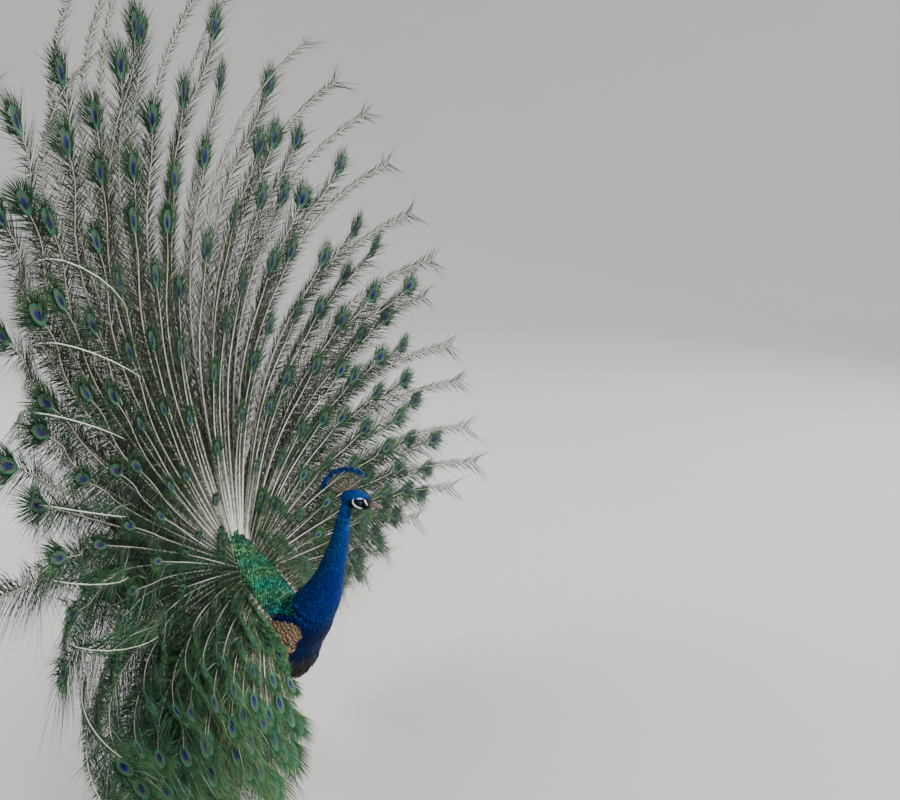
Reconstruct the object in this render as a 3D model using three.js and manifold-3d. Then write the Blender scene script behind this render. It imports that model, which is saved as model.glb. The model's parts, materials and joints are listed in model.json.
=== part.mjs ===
// An Indian peacock (Pavo cristatus) in full display, at life size, in millimetres.
// +Z is up. The bird faces -Y and its left side is +X. Places are first given from the spot on the
// floor midway between the legs; at the end the whole bird is moved so that the origin lies at the
// centre of its footprint.
//
// The flesh is one body of lofted ovals, cut apart at the head, neck and back. The raised train is a
// dished shell of feathers: every feather follows one rule for its root, length and bend.

import * as THREE from 'three';
import { mergeVertices } from 'three/addons/utils/BufferGeometryUtils.js';
import Module from 'manifold-3d';

const wasm = await Module();
wasm.setup();

// ---------------------------------------------------------------- driving dimensions (mm, degrees)
const GAP = 0.3;                     // clear space between neighbouring pieces

// Flesh: each row is [distance forward(-)/back(+), height, half width, half depth] on the midline.
const HEAD_ROWS = [
  [-206, 717, 4, 5], [-212, 717, 12, 14], [-224, 717.5, 17.5, 20.5], [-240, 717, 19.5, 24],
  [-255, 715.5, 19, 23], [-268, 712.5, 16, 19.5], [-278, 710.5, 12.5, 14.5], [-286, 709, 9.5, 10],
];
const NECK_ROWS = [
  [-225, 716, 13, 13], [-219, 688, 17, 17], [-209, 656, 18.5, 18.5], [-202, 620, 22, 22],
  [-194, 588, 26, 25.5], [-180, 541, 33, 32], [-166, 502, 40, 38], [-148, 460, 51, 49],
  [-128, 426, 62, 56],
];
const TRUNK_ROWS = [
  [-148, 460, 44, 42], [-120, 413, 66, 62], [-85, 370, 83, 78], [-30, 328, 96, 116],
  [40, 322, 98, 116], [104, 340, 84, 92], [154, 368, 54, 60], [188, 390, 16, 18],
];
const BACK_TOP = [-62, 429];         // where the neck meets the back, [back, height]
const BACK_RISE = 45;                // slope of the back up to the root of the train
const BACK_ROWS = [                  // [distance up the slope, half width, half depth]
  [-45, 30, 26], [-15, 66, 52], [30, 80, 61], [95, 84, 62], [160, 77, 55], [212, 60, 42],
  [245, 34, 23], [258, 9, 7],
];

const EYE = { x: 14.2, y: -262.5, z: 715, radius: 5 };
const BILL = {
  base: -281, tip: -313, height: 708.5, slope: 0.1, width: 8.6, upper: 8.4, lower: 4.8, hook: 2.4, lowerShort: 4.5,
};

const CREST = {
  root: [-228, 739], rootSpread: 11, from: -26, to: 88, reach: 62, feathers: 8,
  shaftThick: 0.9, tipThick: 1.8, tipBand: 0.8, notch: 0.93,
};

// Train: rules by the angle of a feather from straight up, on either side.
const TRAIN_ANGLES = [0, 30, 60, 90, 110, 130, 165];
const TRAIN_ROOT = {
  out: [0, 35, 60, 76, 88, 94, 92],
  back: [125, 115, 90, 55, 20, -10, -45],
  up: [575, 570, 545, 510, 475, 445, 405],
};
const TRAIN_SIDES = {
  left: {
    sign: 1,
    length: [1460, 1340, 1090, 950, 720, 420, 300],
    leanRoot: [-22, -19, -10, 0, -8, -20, -20],
    leanTip: [42, 54, 56, 58, 16, -5, -10],
  },
  right: {
    sign: -1,
    length: [1460, 1420, 1190, 1010, 850, 590, 385],
    leanRoot: [-22, -16, -3, 4, 6, 16, 26],
    leanTip: [42, 62, 74, 62, 50, 38, 26],
  },
};
const TRAIN_LEAN_POWER = 2.2;        // how late along its length a feather bends forward
const TRAIN_DROOP = 8;               // degrees that a level feather turns down for each metre squared
const TRAIN_SECTORS = 8;             // thin plates on each side
const TRAIN_COLUMNS = 8;             // feather tips and notches across a plate, in turn
const TRAIN_ROWS = 5;
const TRAIN_NOTCH = 0.945;           // reach of a notch between two feather tips
const TRAIN_SLIT = 0.6;              // degrees between plates
const TRAIN_THICK = { root: 3.2, tip: 1.1 };
const TRAIN_STEPS = 32;              // steps in which a feather's bend is summed

const RECTRICES = {                  // the short brown tail feathers that prop the train up
  span: 74, columns: 10, rows: 3, length: 400, lean: -17, rootOut: 46, rootBack: 128, rootDrop: 22,
  rootUp: 470, thickRoot: 3, thickTip: 1.2, notch: 0.93,
};
const UNDERTAIL_ROWS = [
  [128, 402, 50, 40], [176, 428, 60, 46], [214, 476, 50, 33], [236, 530, 32, 18], [244, 566, 8, 5],
];

// Wing: rows along it, [out, back, up, half thickness, half height].
const WING_ROWS = [
  [60, -118, 380, 6, 10], [84, -100, 378, 12, 36], [98, -45, 362, 14, 54], [103, 30, 345, 13, 56],
  [101, 110, 325, 9, 46], [99, 180, 305, 4, 28], [98, 214, 294, 1.6, 9],
];
const PRIMARY_ROWS = [
  [107, 52, 296, 1.6, 30], [122, 120, 258, 1.6, 44], [139, 200, 205, 1.4, 42], [152, 268, 150, 1, 26],
  [157, 300, 122, 0.8, 9],
];

// Legs: [out, back, up, half width, half depth].
const THIGH_ROWS = [
  [52, 6, 322, 34, 44], [62, 22, 268, 36, 45], [70, 48, 218, 25, 31], [74, 76, 176, 14, 17],
  [75, 92, 152, 9.5, 11],
];
const SHANK_ROWS = [
  [75, 97, 150, 8.5, 9.5], [75, 94, 138, 7.5, 8.5], [75.5, 76, 92, 5.6, 6.4], [76, 58, 44, 5.6, 6.6],
  [76, 50, 22, 7, 7.5],
];
const SPUR = { at: [70, 74, 84], to: [60, 92, 88], radius: 3.4 };
const FOOT = {
  ankle: [76, 48, 10], hub: 10, sole: 1.2,
  toes: [                            // [turn outwards, length, radius at the hub, claw length]
    { turn: -26, length: 62, radius: 5.4, claw: 14 },
    { turn: 4, length: 80, radius: 6, claw: 15 },
    { turn: 34, length: 60, radius: 5.4, claw: 14 },
    { turn: 172, length: 30, radius: 4.6, claw: 11 },
  ],
};
const SIDES = { left: 1, right: -1 };

// ---------------------------------------------------------------- finishes
const finish = (color, roughness, metalness = 0) => (
  new THREE.MeshStandardMaterial({ color, roughness, metalness })
);
const FINISH = {
  blue: finish(0x10349c, 0.45, 0.3),
  green: finish(0x1f5a3c, 0.5, 0.3),
  train: finish(0x2f5130, 0.6, 0.2),
  horn: finish(0x8b8378, 0.45),
  eye: finish(0x1c120c, 0.1),
  wing: finish(0xa08a6a, 0.7),
  chestnut: finish(0x8a4b26, 0.65),
  brown: finish(0x5d4a3b, 0.75),
  down: finish(0x8d8478, 0.85),
  leg: finish(0x8f857a, 0.6),
};

// ---------------------------------------------------------------- general shapes
const degrees = THREE.MathUtils.degToRad;

/** Value at `x` on the broken line through (xs, ys). */
function along(x, xs, ys) {
  const last = xs.length - 1;
  if (x >= xs[last]) return ys[last];
  const i = Math.max(0, xs.findIndex((v) => v > x) - 1);
  const t = (x - xs[i]) / (xs[i + 1] - xs[i]);
  return ys[i] + (ys[i + 1] - ys[i]) * t;
}

/** Closed geometry from shared points and triangles. */
function shell(points, triangles) {
  const geometry = new THREE.BufferGeometry();
  const numbers = points.flatMap((p) => [p.x, p.y, p.z]);
  geometry.setAttribute('position', new THREE.Float32BufferAttribute(numbers, 3));
  geometry.setIndex(triangles.flat());
  return geometry;
}

/** Solid through rings of equal count, closed at both ends by a point at the ring's middle. */
function loft(rings) {
  const count = rings[0].length;
  const points = rings.flat();
  const triangles = [];
  for (let i = 0; i < rings.length - 1; i++) {
    for (let j = 0; j < count; j++) {
      const k = (j + 1) % count;
      const [a, b, c, d] = [i * count + j, i * count + k, (i + 1) * count + k, (i + 1) * count + j];
      triangles.push([a, b, c], [a, c, d]);
    }
  }
  const ends = [[rings[0], 0, true], [rings.at(-1), (rings.length - 1) * count, false]];
  for (const [ring, start, flip] of ends) {
    const middle = ring.reduce((sum, p) => sum.add(p), new THREE.Vector3()).divideScalar(count);
    const centre = points.push(middle) - 1;
    for (let j = 0; j < count; j++) {
      const k = (j + 1) % count;
      triangles.push(flip ? [centre, start + k, start + j] : [centre, start + j, start + k]);
    }
  }
  return shell(points, triangles);
}

/** Loft of ovals square to a path. `rows` are [x, y, z, half width, half depth]; width runs along `side`. */
function ovalTube(rows, count, steps, side = new THREE.Vector3(1, 0, 0), grow = 0) {
  const places = rows.map(([x, y, z]) => new THREE.Vector3(x, y, z));
  const path = new THREE.CatmullRomCurve3(places, false, 'centripetal');
  const knots = rows.map((_, i) => i);
  const rings = [];
  for (let s = 0; s <= steps; s++) {
    const t = s / steps;
    const centre = path.getPoint(t);
    const heading = path.getTangent(t);
    const across = side.clone().addScaledVector(heading, -side.dot(heading)).normalize();
    const depth = heading.clone().cross(across);
    const knot = t * (rows.length - 1);
    const halfWidth = along(knot, knots, rows.map((r) => r[3])) + grow;
    const halfDepth = along(knot, knots, rows.map((r) => r[4])) + grow;
    const ring = [];
    for (let j = 0; j < count; j++) {
      const turn = (2 * Math.PI * j) / count;
      const point = centre.clone().addScaledVector(across, halfWidth * Math.cos(turn));
      ring.push(point.addScaledVector(depth, halfDepth * Math.sin(turn)));
    }
    rings.push(ring);
  }
  return loft(rings);
}

/** Rows on the midline, [back, up, ...], as rows in space. */
const midline = (rows) => rows.map(([y, z, ...rest]) => [0, y, z, ...rest]);

/** The same rows on the left (1) or the right (-1) side. */
const onSide = (rows, sign) => rows.map(([x, ...rest]) => [x * sign, ...rest]);

// ---------------------------------------------------------------- solids for joining and cutting
function solid(geometry) {
  const bare = geometry.clone();
  bare.deleteAttribute('normal');
  bare.deleteAttribute('uv');
  const merged = mergeVertices(bare, 1e-4);
  let made = new wasm.Manifold(new wasm.Mesh({
    numProp: 3,
    vertProperties: new Float32Array(merged.attributes.position.array),
    triVerts: new Uint32Array(merged.index.array),
  }));
  if (made.volume() < 0) {
    const turned = new Uint32Array(merged.index.array);
    for (let i = 0; i < turned.length; i += 3) {
      [turned[i + 1], turned[i + 2]] = [turned[i + 2], turned[i + 1]];
    }
    made = new wasm.Manifold(new wasm.Mesh({
      numProp: 3,
      vertProperties: new Float32Array(merged.attributes.position.array),
      triVerts: turned,
    }));
  }
  return made;
}

const join = (...solids) => solids.reduce((whole, next) => whole.add(next));
const cut = (body, ...tools) => tools.reduce((rest, tool) => rest.subtract(tool), body);

/** The largest single piece of a solid that a cut may have left in several. */
function largest(body) {
  return body.decompose().reduce((best, piece) => (piece.volume() > best.volume() ? piece : best));
}

function toGeometry(body) {
  const mesh = body.getMesh();
  const geometry = new THREE.BufferGeometry();
  geometry.setAttribute('position', new THREE.BufferAttribute(new Float32Array(mesh.vertProperties), 3));
  geometry.setIndex(new THREE.BufferAttribute(new Uint32Array(mesh.triVerts), 1));
  return geometry;
}

/** Everything on the far side of a plane through `point`, as a large block. */
function halfSpace(point, normal, size = 3000) {
  const block = new THREE.BoxGeometry(size, size, size).translate(0, 0, size / 2);
  const facing = normal.clone().normalize();
  const turn = new THREE.Quaternion().setFromUnitVectors(new THREE.Vector3(0, 0, 1), facing);
  return solid(block.applyQuaternion(turn).translate(point.x, point.y, point.z));
}

/** A body parted at a plane, the two parts held GAP from each other. */
function part(body, point, normal) {
  const away = normal.clone().normalize().multiplyScalar(GAP / 2);
  const front = body.intersect(halfSpace(point.clone().add(away), normal));
  const back = body.intersect(halfSpace(point.clone().sub(away), normal.clone().negate()));
  return [largest(front), largest(back)];
}

// ---------------------------------------------------------------- the bird
const bird = new THREE.Group();

function place(name, body, material) {
  const geometry = body.isBufferGeometry ? body : toGeometry(body);
  geometry.computeVertexNormals();
  const mesh = new THREE.Mesh(geometry, material);
  mesh.name = name;
  bird.add(mesh);
}

// Slope of the back, and rows of the hump that carries the train.
const rise = new THREE.Vector3(0, Math.cos(degrees(BACK_RISE)), Math.sin(degrees(BACK_RISE)));
const outOfBack = new THREE.Vector3(0, -rise.z, rise.y);
const backRows = BACK_ROWS.map(([up, halfWidth, halfDepth]) => {
  const centre = new THREE.Vector3(0, ...BACK_TOP).addScaledVector(rise, up);
  centre.addScaledVector(outOfBack, -halfDepth);
  return [centre.x, centre.y, centre.z, halfWidth, halfDepth];
});

/** Flesh of the bird as one solid, `grow` larger all round. */
function flesh(grow = 0) {
  const x = new THREE.Vector3(1, 0, 0);
  return join(
    solid(ovalTube(midline(HEAD_ROWS), 14, 8, x, grow)),
    solid(ovalTube(midline(NECK_ROWS), 14, 8, x, grow)),
    solid(ovalTube(midline(TRUNK_ROWS), 16, 8, x, grow)),
    solid(ovalTube(backRows, 14, 7, x, grow)),
  );
}

const whole = flesh();
const cleared = flesh(GAP);

// Head, neck, trunk and back.
const forward = new THREE.Vector3(0, -1, 0);
const [headAll, belowHead] = part(whole, new THREE.Vector3(0, -212, 676), new THREE.Vector3(0, -0.28, 0.96));
const [neckUpper, belowUpper] = part(
  belowHead, new THREE.Vector3(0, -182, 548), new THREE.Vector3(0, -0.3, 0.95),
);
const [neckLower, belowNeck] = part(
  belowUpper, new THREE.Vector3(0, -118, 436), new THREE.Vector3(0, -0.62, 0.78),
);
const backFloor = new THREE.Vector3(0, ...BACK_TOP).addScaledVector(outOfBack, -46);
const [back, trunk] = part(belowNeck, backFloor, outOfBack);

const eyeballs = Object.entries(SIDES).map(([side, sign]) => {
  const at = [EYE.x * sign, EYE.y, EYE.z];
  const ball = (radius) => new THREE.SphereGeometry(radius, 10, 8).translate(...at);
  return { side, ball: ball(EYE.radius), socket: solid(ball(EYE.radius + GAP)) };
});

/** Half of the bill: a tapering loft, flat where the halves meet. `up` is 1 for the upper, hooked one. */
function billHalf(up) {
  const tip = up > 0 ? BILL.tip : BILL.tip + BILL.lowerShort;
  const hookStart = BILL.tip + BILL.lowerShort - 1;
  const rings = [];
  const steps = 6;
  for (let i = 0; i <= steps; i++) {
    const t = i / steps;
    const y = BILL.base + (tip - BILL.base) * t;
    const taper = Math.sqrt(Math.max(0, 1 - t ** 2.4)) * 0.94 + 0.06;
    const hooked = up > 0 ? BILL.hook * Math.max(0, (hookStart - y) / (hookStart - BILL.tip)) ** 2 : 0;
    const gape = BILL.height - BILL.slope * (BILL.base - y) - hooked;
    const high = (up > 0 ? BILL.upper : BILL.lower) * taper;
    const ring = [];
    for (let j = 0; j < 8; j++) {
      const turn = (Math.PI * j) / 7;
      const z = gape + up * (GAP / 2 + high * Math.sin(turn));
      ring.push(new THREE.Vector3(BILL.width * taper * Math.cos(turn), y, z));
    }
    rings.push(ring);
  }
  return solid(loft(rings));
}

const billUpper = billHalf(1);
const billLower = billHalf(-1);
const headFront = halfSpace(new THREE.Vector3(0, BILL.base - 1, 0), forward);
const headCut = cut(headAll, headFront, ...eyeballs.map((e) => e.socket));
const headBlock = flesh(GAP).subtract(halfSpace(new THREE.Vector3(0, BILL.base - 1 - GAP, 0), forward));
place('head', largest(headCut), FINISH.blue);
place('bill_upper', largest(cut(billUpper, headBlock)), FINISH.horn);
place('bill_lower', largest(cut(billLower, headBlock)), FINISH.horn);
for (const { side, ball } of eyeballs) place(`eye_${side}`, ball, FINISH.eye);
place('neck_upper', neckUpper, FINISH.blue);
place('neck_lower', neckLower, FINISH.blue);
place('back', back, FINISH.green);

// Crest: an upright fan along the midline, thick where the feathers carry their blue tips.
function crest() {
  const columns = CREST.feathers * 2;
  const reaches = [0, 0.5, CREST.tipBand, 1];
  const grid = (thickness) => {
    const points = [];
    for (let j = 0; j <= columns; j++) {
      const t = j / columns;
      const angle = degrees(CREST.from + (CREST.to - CREST.from) * t);
      const y = CREST.root[0] + CREST.rootSpread * (2 * t - 1);
      const z = CREST.root[1] - 3 - 4 * t * t;
      reaches.forEach((reach, i) => {
        const edge = i === reaches.length - 1 && j % 2 === 0 ? CREST.notch : 1;
        const half = (i >= 2 ? CREST.tipThick : CREST.shaftThick) / 2;
        const r = CREST.reach * reach * edge;
        points.push(new THREE.Vector3(thickness * half, y + r * Math.sin(angle), z + r * Math.cos(angle)));
      });
    }
    return points;
  };
  return plate(grid(1), grid(-1), reaches.length, columns + 1);
}

/** Thin closed plate from two grids of points, stored column by column with `rows` points in each. */
function plate(front, rear, rows, columns) {
  const points = [...front, ...rear];
  const shift = front.length;
  const at = (i, j) => j * rows + i;
  const triangles = [];
  const quad = (a, b, c, d) => triangles.push([a, b, c], [a, c, d]);
  for (let j = 0; j < columns - 1; j++) {
    for (let i = 0; i < rows - 1; i++) {
      quad(at(i, j), at(i + 1, j), at(i + 1, j + 1), at(i, j + 1));
      quad(shift + at(i, j), shift + at(i, j + 1), shift + at(i + 1, j + 1), shift + at(i + 1, j));
    }
    quad(at(0, j), at(0, j + 1), shift + at(0, j + 1), shift + at(0, j));
    quad(at(rows - 1, j), shift + at(rows - 1, j), shift + at(rows - 1, j + 1), at(rows - 1, j + 1));
  }
  for (let i = 0; i < rows - 1; i++) {
    quad(at(i, 0), shift + at(i, 0), shift + at(i + 1, 0), at(i + 1, 0));
    quad(at(i, columns - 1), at(i + 1, columns - 1), shift + at(i + 1, columns - 1), shift + at(i, columns - 1));
  }
  return solid(shell(points, triangles));
}
place('crest', largest(cut(crest(), cleared)), FINISH.blue);

// Wings and their chestnut flight feathers, folded and let down along the flanks.
const wings = {};
for (const [side, sign] of Object.entries(SIDES)) {
  const x = new THREE.Vector3(1, 0, 0);
  const wing = (grow) => solid(ovalTube(onSide(WING_ROWS, sign), 10, 8, x, grow));
  const primaries = (grow) => solid(ovalTube(onSide(PRIMARY_ROWS, sign), 8, 6, x, grow));
  wings[side] = { wing: wing(GAP), primaries: primaries(GAP) };
  place(`wing_${side}`, largest(cut(wing(0), cleared)), FINISH.wing);
  place(`primaries_${side}`, largest(cut(primaries(0), cleared, wings[side].wing)), FINISH.chestnut);
}
const wingTools = Object.values(wings).flatMap((w) => [w.wing, w.primaries]);

// Train.
/** A feather's line from root to tip as [position, ...], for one side and angle from straight up. */
function featherLine(side, angle) {
  const rule = TRAIN_SIDES[side];
  const at = (values) => along(angle, TRAIN_ANGLES, values);
  const step = at(rule.length) / TRAIN_STEPS;
  const line = [new THREE.Vector3(rule.sign * at(TRAIN_ROOT.out), at(TRAIN_ROOT.back), at(TRAIN_ROOT.up))];
  let heading = angle;
  for (let i = 0; i < TRAIN_STEPS; i++) {
    const reach = (i + 0.5) / TRAIN_STEPS;
    const bend = (at(rule.leanTip) - at(rule.leanRoot)) * reach ** TRAIN_LEAN_POWER;
    const lean = degrees(at(rule.leanRoot) + bend);
    const turn = degrees(heading);
    const out = rule.sign * Math.sin(turn) * Math.cos(lean);
    const direction = new THREE.Vector3(out, -Math.sin(lean), Math.cos(turn) * Math.cos(lean));
    line.push(line.at(-1).clone().addScaledVector(direction, step));
    heading += TRAIN_DROOP * Math.sin(turn) * (step / 1000) * 2 * reach;
  }
  return line;
}

/** Place on a feather at a share of its length. */
function onFeather(line, reach) {
  const spot = reach * TRAIN_STEPS;
  const i = Math.min(TRAIN_STEPS - 1, Math.floor(spot));
  return line[i].clone().lerp(line[i + 1], spot - i);
}

/** One plate of the train between two angles. */
function trainPlate(side, from, to) {
  const { sign } = TRAIN_SIDES[side];
  const lines = [];
  for (let j = 0; j <= TRAIN_COLUMNS; j++) {
    lines.push(featherLine(side, from + ((to - from) * j) / TRAIN_COLUMNS));
  }
  const middle = lines.map((line, j) => {
    const edge = j % 2 === 0 ? TRAIN_NOTCH : 1;
    return Array.from({ length: TRAIN_ROWS + 1 }, (_, i) => onFeather(line, (edge * i) / TRAIN_ROWS));
  });
  const [front, rear] = [[], []];
  for (let j = 0; j <= TRAIN_COLUMNS; j++) {
    for (let i = 0; i <= TRAIN_ROWS; i++) {
      const [j0, j1] = [Math.max(0, j - 1), Math.min(TRAIN_COLUMNS, j + 1)];
      const [i0, i1] = [Math.max(0, i - 1), Math.min(TRAIN_ROWS, i + 1)];
      const outward = middle[j][i1].clone().sub(middle[j][i0]);
      const across = middle[j1][i].clone().sub(middle[j0][i]);
      const normal = outward.cross(across).normalize().multiplyScalar(sign);
      const thinned = (TRAIN_THICK.tip - TRAIN_THICK.root) * Math.min(1, (2 * i) / TRAIN_ROWS);
      const half = (TRAIN_THICK.root + thinned) / 2;
      front.push(middle[j][i].clone().addScaledVector(normal, half));
      rear.push(middle[j][i].clone().addScaledVector(normal, -half));
    }
  }
  return plate(front, rear, TRAIN_ROWS + 1, TRAIN_COLUMNS + 1);
}

const trainSpan = TRAIN_ANGLES.at(-1) / TRAIN_SECTORS;
for (const side of Object.keys(SIDES)) {
  for (let k = 0; k < TRAIN_SECTORS; k++) {
    const made = trainPlate(side, k * trainSpan + TRAIN_SLIT / 2, (k + 1) * trainSpan - TRAIN_SLIT / 2);
    place(`train_${side}_${k + 1}`, largest(cut(made, cleared, ...wingTools)), FINISH.train);
  }
}

// Tail feathers behind the train, and the soft feathers under them.
function rectrices(grow = 0) {
  const [front, rear] = [[], []];
  for (let j = 0; j <= RECTRICES.columns; j++) {
    const t = (2 * j) / RECTRICES.columns - 1;
    const turn = degrees(RECTRICES.span * t);
    const lean = degrees(RECTRICES.lean * Math.cos(turn));
    const edge = j % 2 === 0 ? RECTRICES.notch : 1;
    const outward = new THREE.Vector3(
      Math.sin(turn) * Math.cos(lean), -Math.sin(lean), Math.cos(turn) * Math.cos(lean),
    );
    const rootHeight = RECTRICES.rootUp - RECTRICES.rootDrop * t * t;
    const root = new THREE.Vector3(RECTRICES.rootOut * t, RECTRICES.rootBack, rootHeight);
    const normal = new THREE.Vector3(0, -Math.cos(lean), -Math.sin(lean));
    for (let i = 0; i <= RECTRICES.rows; i++) {
      const share = i / RECTRICES.rows;
      const spot = root.clone().addScaledVector(outward, RECTRICES.length * share * edge);
      const half = THREE.MathUtils.lerp(RECTRICES.thickRoot, RECTRICES.thickTip, share) / 2 + grow;
      front.push(spot.clone().addScaledVector(normal, half));
      rear.push(spot.clone().addScaledVector(normal, -half));
    }
  }
  return plate(front, rear, RECTRICES.rows + 1, RECTRICES.columns + 1);
}
place('tail', largest(cut(rectrices(), cleared)), FINISH.brown);
const undertail = solid(ovalTube(midline(UNDERTAIL_ROWS), 12, 5));
place('undertail', largest(cut(undertail, cleared, rectrices(GAP))), FINISH.down);

// Legs: feathered thighs, scaly shanks with a spur, and feet with four toes on the floor.
const aboveFloor = halfSpace(new THREE.Vector3(0, 0, 0), new THREE.Vector3(0, 0, 1));

/** One toe with its claw, from the hub of the foot. */
function toe({ turn, length, radius, claw }, sign, grow) {
  const heading = new THREE.Vector3(Math.sin(degrees(turn)) * sign, -Math.cos(degrees(turn)), 0);
  const side = heading.clone().cross(new THREE.Vector3(0, 0, 1));
  const hub = new THREE.Vector3(FOOT.ankle[0] * sign, FOOT.ankle[1], 0);
  const row = (reach, high, half) => {
    const spot = hub.clone().addScaledVector(heading, reach);
    return [spot.x, spot.y, high, half, half];
  };
  const rows = [
    row(-4, radius, radius), row(length * 0.3, radius - FOOT.sole, radius * 0.9),
    row(length * 0.65, radius * 0.85 - FOOT.sole, radius * 0.8), row(length, radius * 0.7 - FOOT.sole, radius * 0.7),
    row(length + claw * 0.55, radius * 0.62, radius * 0.4), row(length + claw, radius * 0.2, radius * 0.12),
  ];
  return solid(ovalTube(rows, 6, 4, side, grow));
}

function foot(sign, grow = 0) {
  const [x, y] = FOOT.ankle;
  const hub = solid(ovalTube([
    [x * sign, y, -2, FOOT.hub, FOOT.hub], [x * sign, y, 12, FOOT.hub * 0.85, FOOT.hub * 0.85],
    [x * sign, y + 3, 24, FOOT.hub * 0.62, FOOT.hub * 0.66],
  ], 10, 2, new THREE.Vector3(1, 0, 0), grow));
  return join(hub, ...FOOT.toes.map((t) => toe(t, sign, grow)));
}

for (const [side, sign] of Object.entries(SIDES)) {
  const thigh = (grow) => solid(ovalTube(onSide(THIGH_ROWS, sign), 12, 6, new THREE.Vector3(1, 0, 0), grow));
  place(`thigh_${side}`, largest(cut(thigh(0), cleared, ...wingTools)), FINISH.down);
  const [sx, ...spurAt] = SPUR.at;
  const [tx, ...spurTo] = SPUR.to;
  const spur = ovalTube([
    [sx * sign, ...spurAt, SPUR.radius, SPUR.radius], [tx * sign, ...spurTo, SPUR.radius * 0.2, SPUR.radius * 0.2],
  ], 6, 2);
  const shank = join(solid(ovalTube(onSide(SHANK_ROWS, sign), 8, 6)), solid(spur));
  place(`shank_${side}`, largest(cut(shank, foot(sign, GAP), thigh(GAP))), FINISH.leg);
  place(`foot_${side}`, largest(foot(sign).intersect(aboveFloor)), FINISH.leg);
}
place('trunk', trunk, FINISH.brown);

// The origin goes to the centre of the footprint, on the floor.
const box = new THREE.Box3().setFromObject(bird);
const centre = box.getCenter(new THREE.Vector3());
bird.position.set(-centre.x, -centre.y, -box.min.z);

export default bird;
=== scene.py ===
"""A life-size Indian peacock in full display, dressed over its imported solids.

Shapes are worked out in metres in the bird's own frame: the bird faces -Y, its left side is +X, and
the zero lies on the floor midway between the legs. `HOME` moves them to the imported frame.
"""

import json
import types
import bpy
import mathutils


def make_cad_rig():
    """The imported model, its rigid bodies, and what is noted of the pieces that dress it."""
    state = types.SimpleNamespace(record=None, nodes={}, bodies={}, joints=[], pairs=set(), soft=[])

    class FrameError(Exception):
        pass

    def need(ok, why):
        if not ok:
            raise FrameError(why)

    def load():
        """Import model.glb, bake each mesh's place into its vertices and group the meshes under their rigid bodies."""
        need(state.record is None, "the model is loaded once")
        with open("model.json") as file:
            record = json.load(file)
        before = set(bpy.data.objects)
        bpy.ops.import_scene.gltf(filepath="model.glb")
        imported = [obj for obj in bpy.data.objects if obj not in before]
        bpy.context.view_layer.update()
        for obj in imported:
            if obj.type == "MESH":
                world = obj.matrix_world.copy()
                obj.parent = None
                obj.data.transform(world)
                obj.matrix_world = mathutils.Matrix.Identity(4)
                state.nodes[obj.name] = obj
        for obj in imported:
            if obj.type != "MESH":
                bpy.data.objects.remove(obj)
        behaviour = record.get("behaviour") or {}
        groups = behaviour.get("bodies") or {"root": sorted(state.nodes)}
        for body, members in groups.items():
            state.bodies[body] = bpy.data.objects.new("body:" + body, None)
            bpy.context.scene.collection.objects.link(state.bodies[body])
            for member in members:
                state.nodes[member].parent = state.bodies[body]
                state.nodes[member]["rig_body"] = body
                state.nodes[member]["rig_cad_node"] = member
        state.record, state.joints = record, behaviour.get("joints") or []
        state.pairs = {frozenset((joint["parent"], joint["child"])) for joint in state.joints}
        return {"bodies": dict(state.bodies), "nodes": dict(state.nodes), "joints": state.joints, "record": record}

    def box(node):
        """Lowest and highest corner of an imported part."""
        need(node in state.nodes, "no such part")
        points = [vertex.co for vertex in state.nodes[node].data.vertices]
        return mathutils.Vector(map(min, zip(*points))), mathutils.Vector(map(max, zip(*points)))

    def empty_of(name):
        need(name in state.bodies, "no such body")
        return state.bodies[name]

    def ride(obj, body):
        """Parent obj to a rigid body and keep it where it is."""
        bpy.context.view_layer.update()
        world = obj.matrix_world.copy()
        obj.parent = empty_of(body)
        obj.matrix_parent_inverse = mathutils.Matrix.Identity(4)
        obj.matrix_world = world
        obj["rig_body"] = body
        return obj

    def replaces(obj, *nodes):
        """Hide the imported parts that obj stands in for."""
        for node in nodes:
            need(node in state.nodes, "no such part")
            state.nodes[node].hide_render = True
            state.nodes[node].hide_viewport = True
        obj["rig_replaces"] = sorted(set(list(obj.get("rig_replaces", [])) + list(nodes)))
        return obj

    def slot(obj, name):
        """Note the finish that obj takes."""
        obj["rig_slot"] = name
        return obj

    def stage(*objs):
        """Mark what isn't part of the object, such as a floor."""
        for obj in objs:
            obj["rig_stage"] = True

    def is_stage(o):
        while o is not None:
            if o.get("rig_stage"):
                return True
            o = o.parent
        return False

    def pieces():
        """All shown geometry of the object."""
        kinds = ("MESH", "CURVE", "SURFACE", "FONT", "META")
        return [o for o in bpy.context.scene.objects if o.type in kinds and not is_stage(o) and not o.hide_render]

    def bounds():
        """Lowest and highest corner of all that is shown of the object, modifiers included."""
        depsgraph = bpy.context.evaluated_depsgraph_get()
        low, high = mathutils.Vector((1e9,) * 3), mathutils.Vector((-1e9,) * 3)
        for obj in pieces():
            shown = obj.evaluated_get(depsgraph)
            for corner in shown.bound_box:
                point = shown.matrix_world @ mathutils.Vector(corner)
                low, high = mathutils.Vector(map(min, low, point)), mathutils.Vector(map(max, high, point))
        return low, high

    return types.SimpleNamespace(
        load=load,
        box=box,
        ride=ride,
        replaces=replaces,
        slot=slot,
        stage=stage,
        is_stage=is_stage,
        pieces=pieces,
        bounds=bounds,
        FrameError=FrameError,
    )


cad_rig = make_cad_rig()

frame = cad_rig.load()
CAD_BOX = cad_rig.bounds()

import json
import logging
import math
from dataclasses import dataclass, field, fields
from enum import Enum
from typing import Any, Callable, Sequence

import bmesh
import bpy
import numpy as np
from mathutils import Vector
from mathutils.bvhtree import BVHTree

LOG = logging.getLogger("peacock")
Array = np.ndarray
Obj = bpy.types.Object
Material = bpy.types.Material
Tree = bpy.types.NodeTree
Socket = bpy.types.NodeSocket
Rng = np.random.Generator
Triple = tuple[float, float, float]
Shape = tuple[Array, list]

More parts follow.
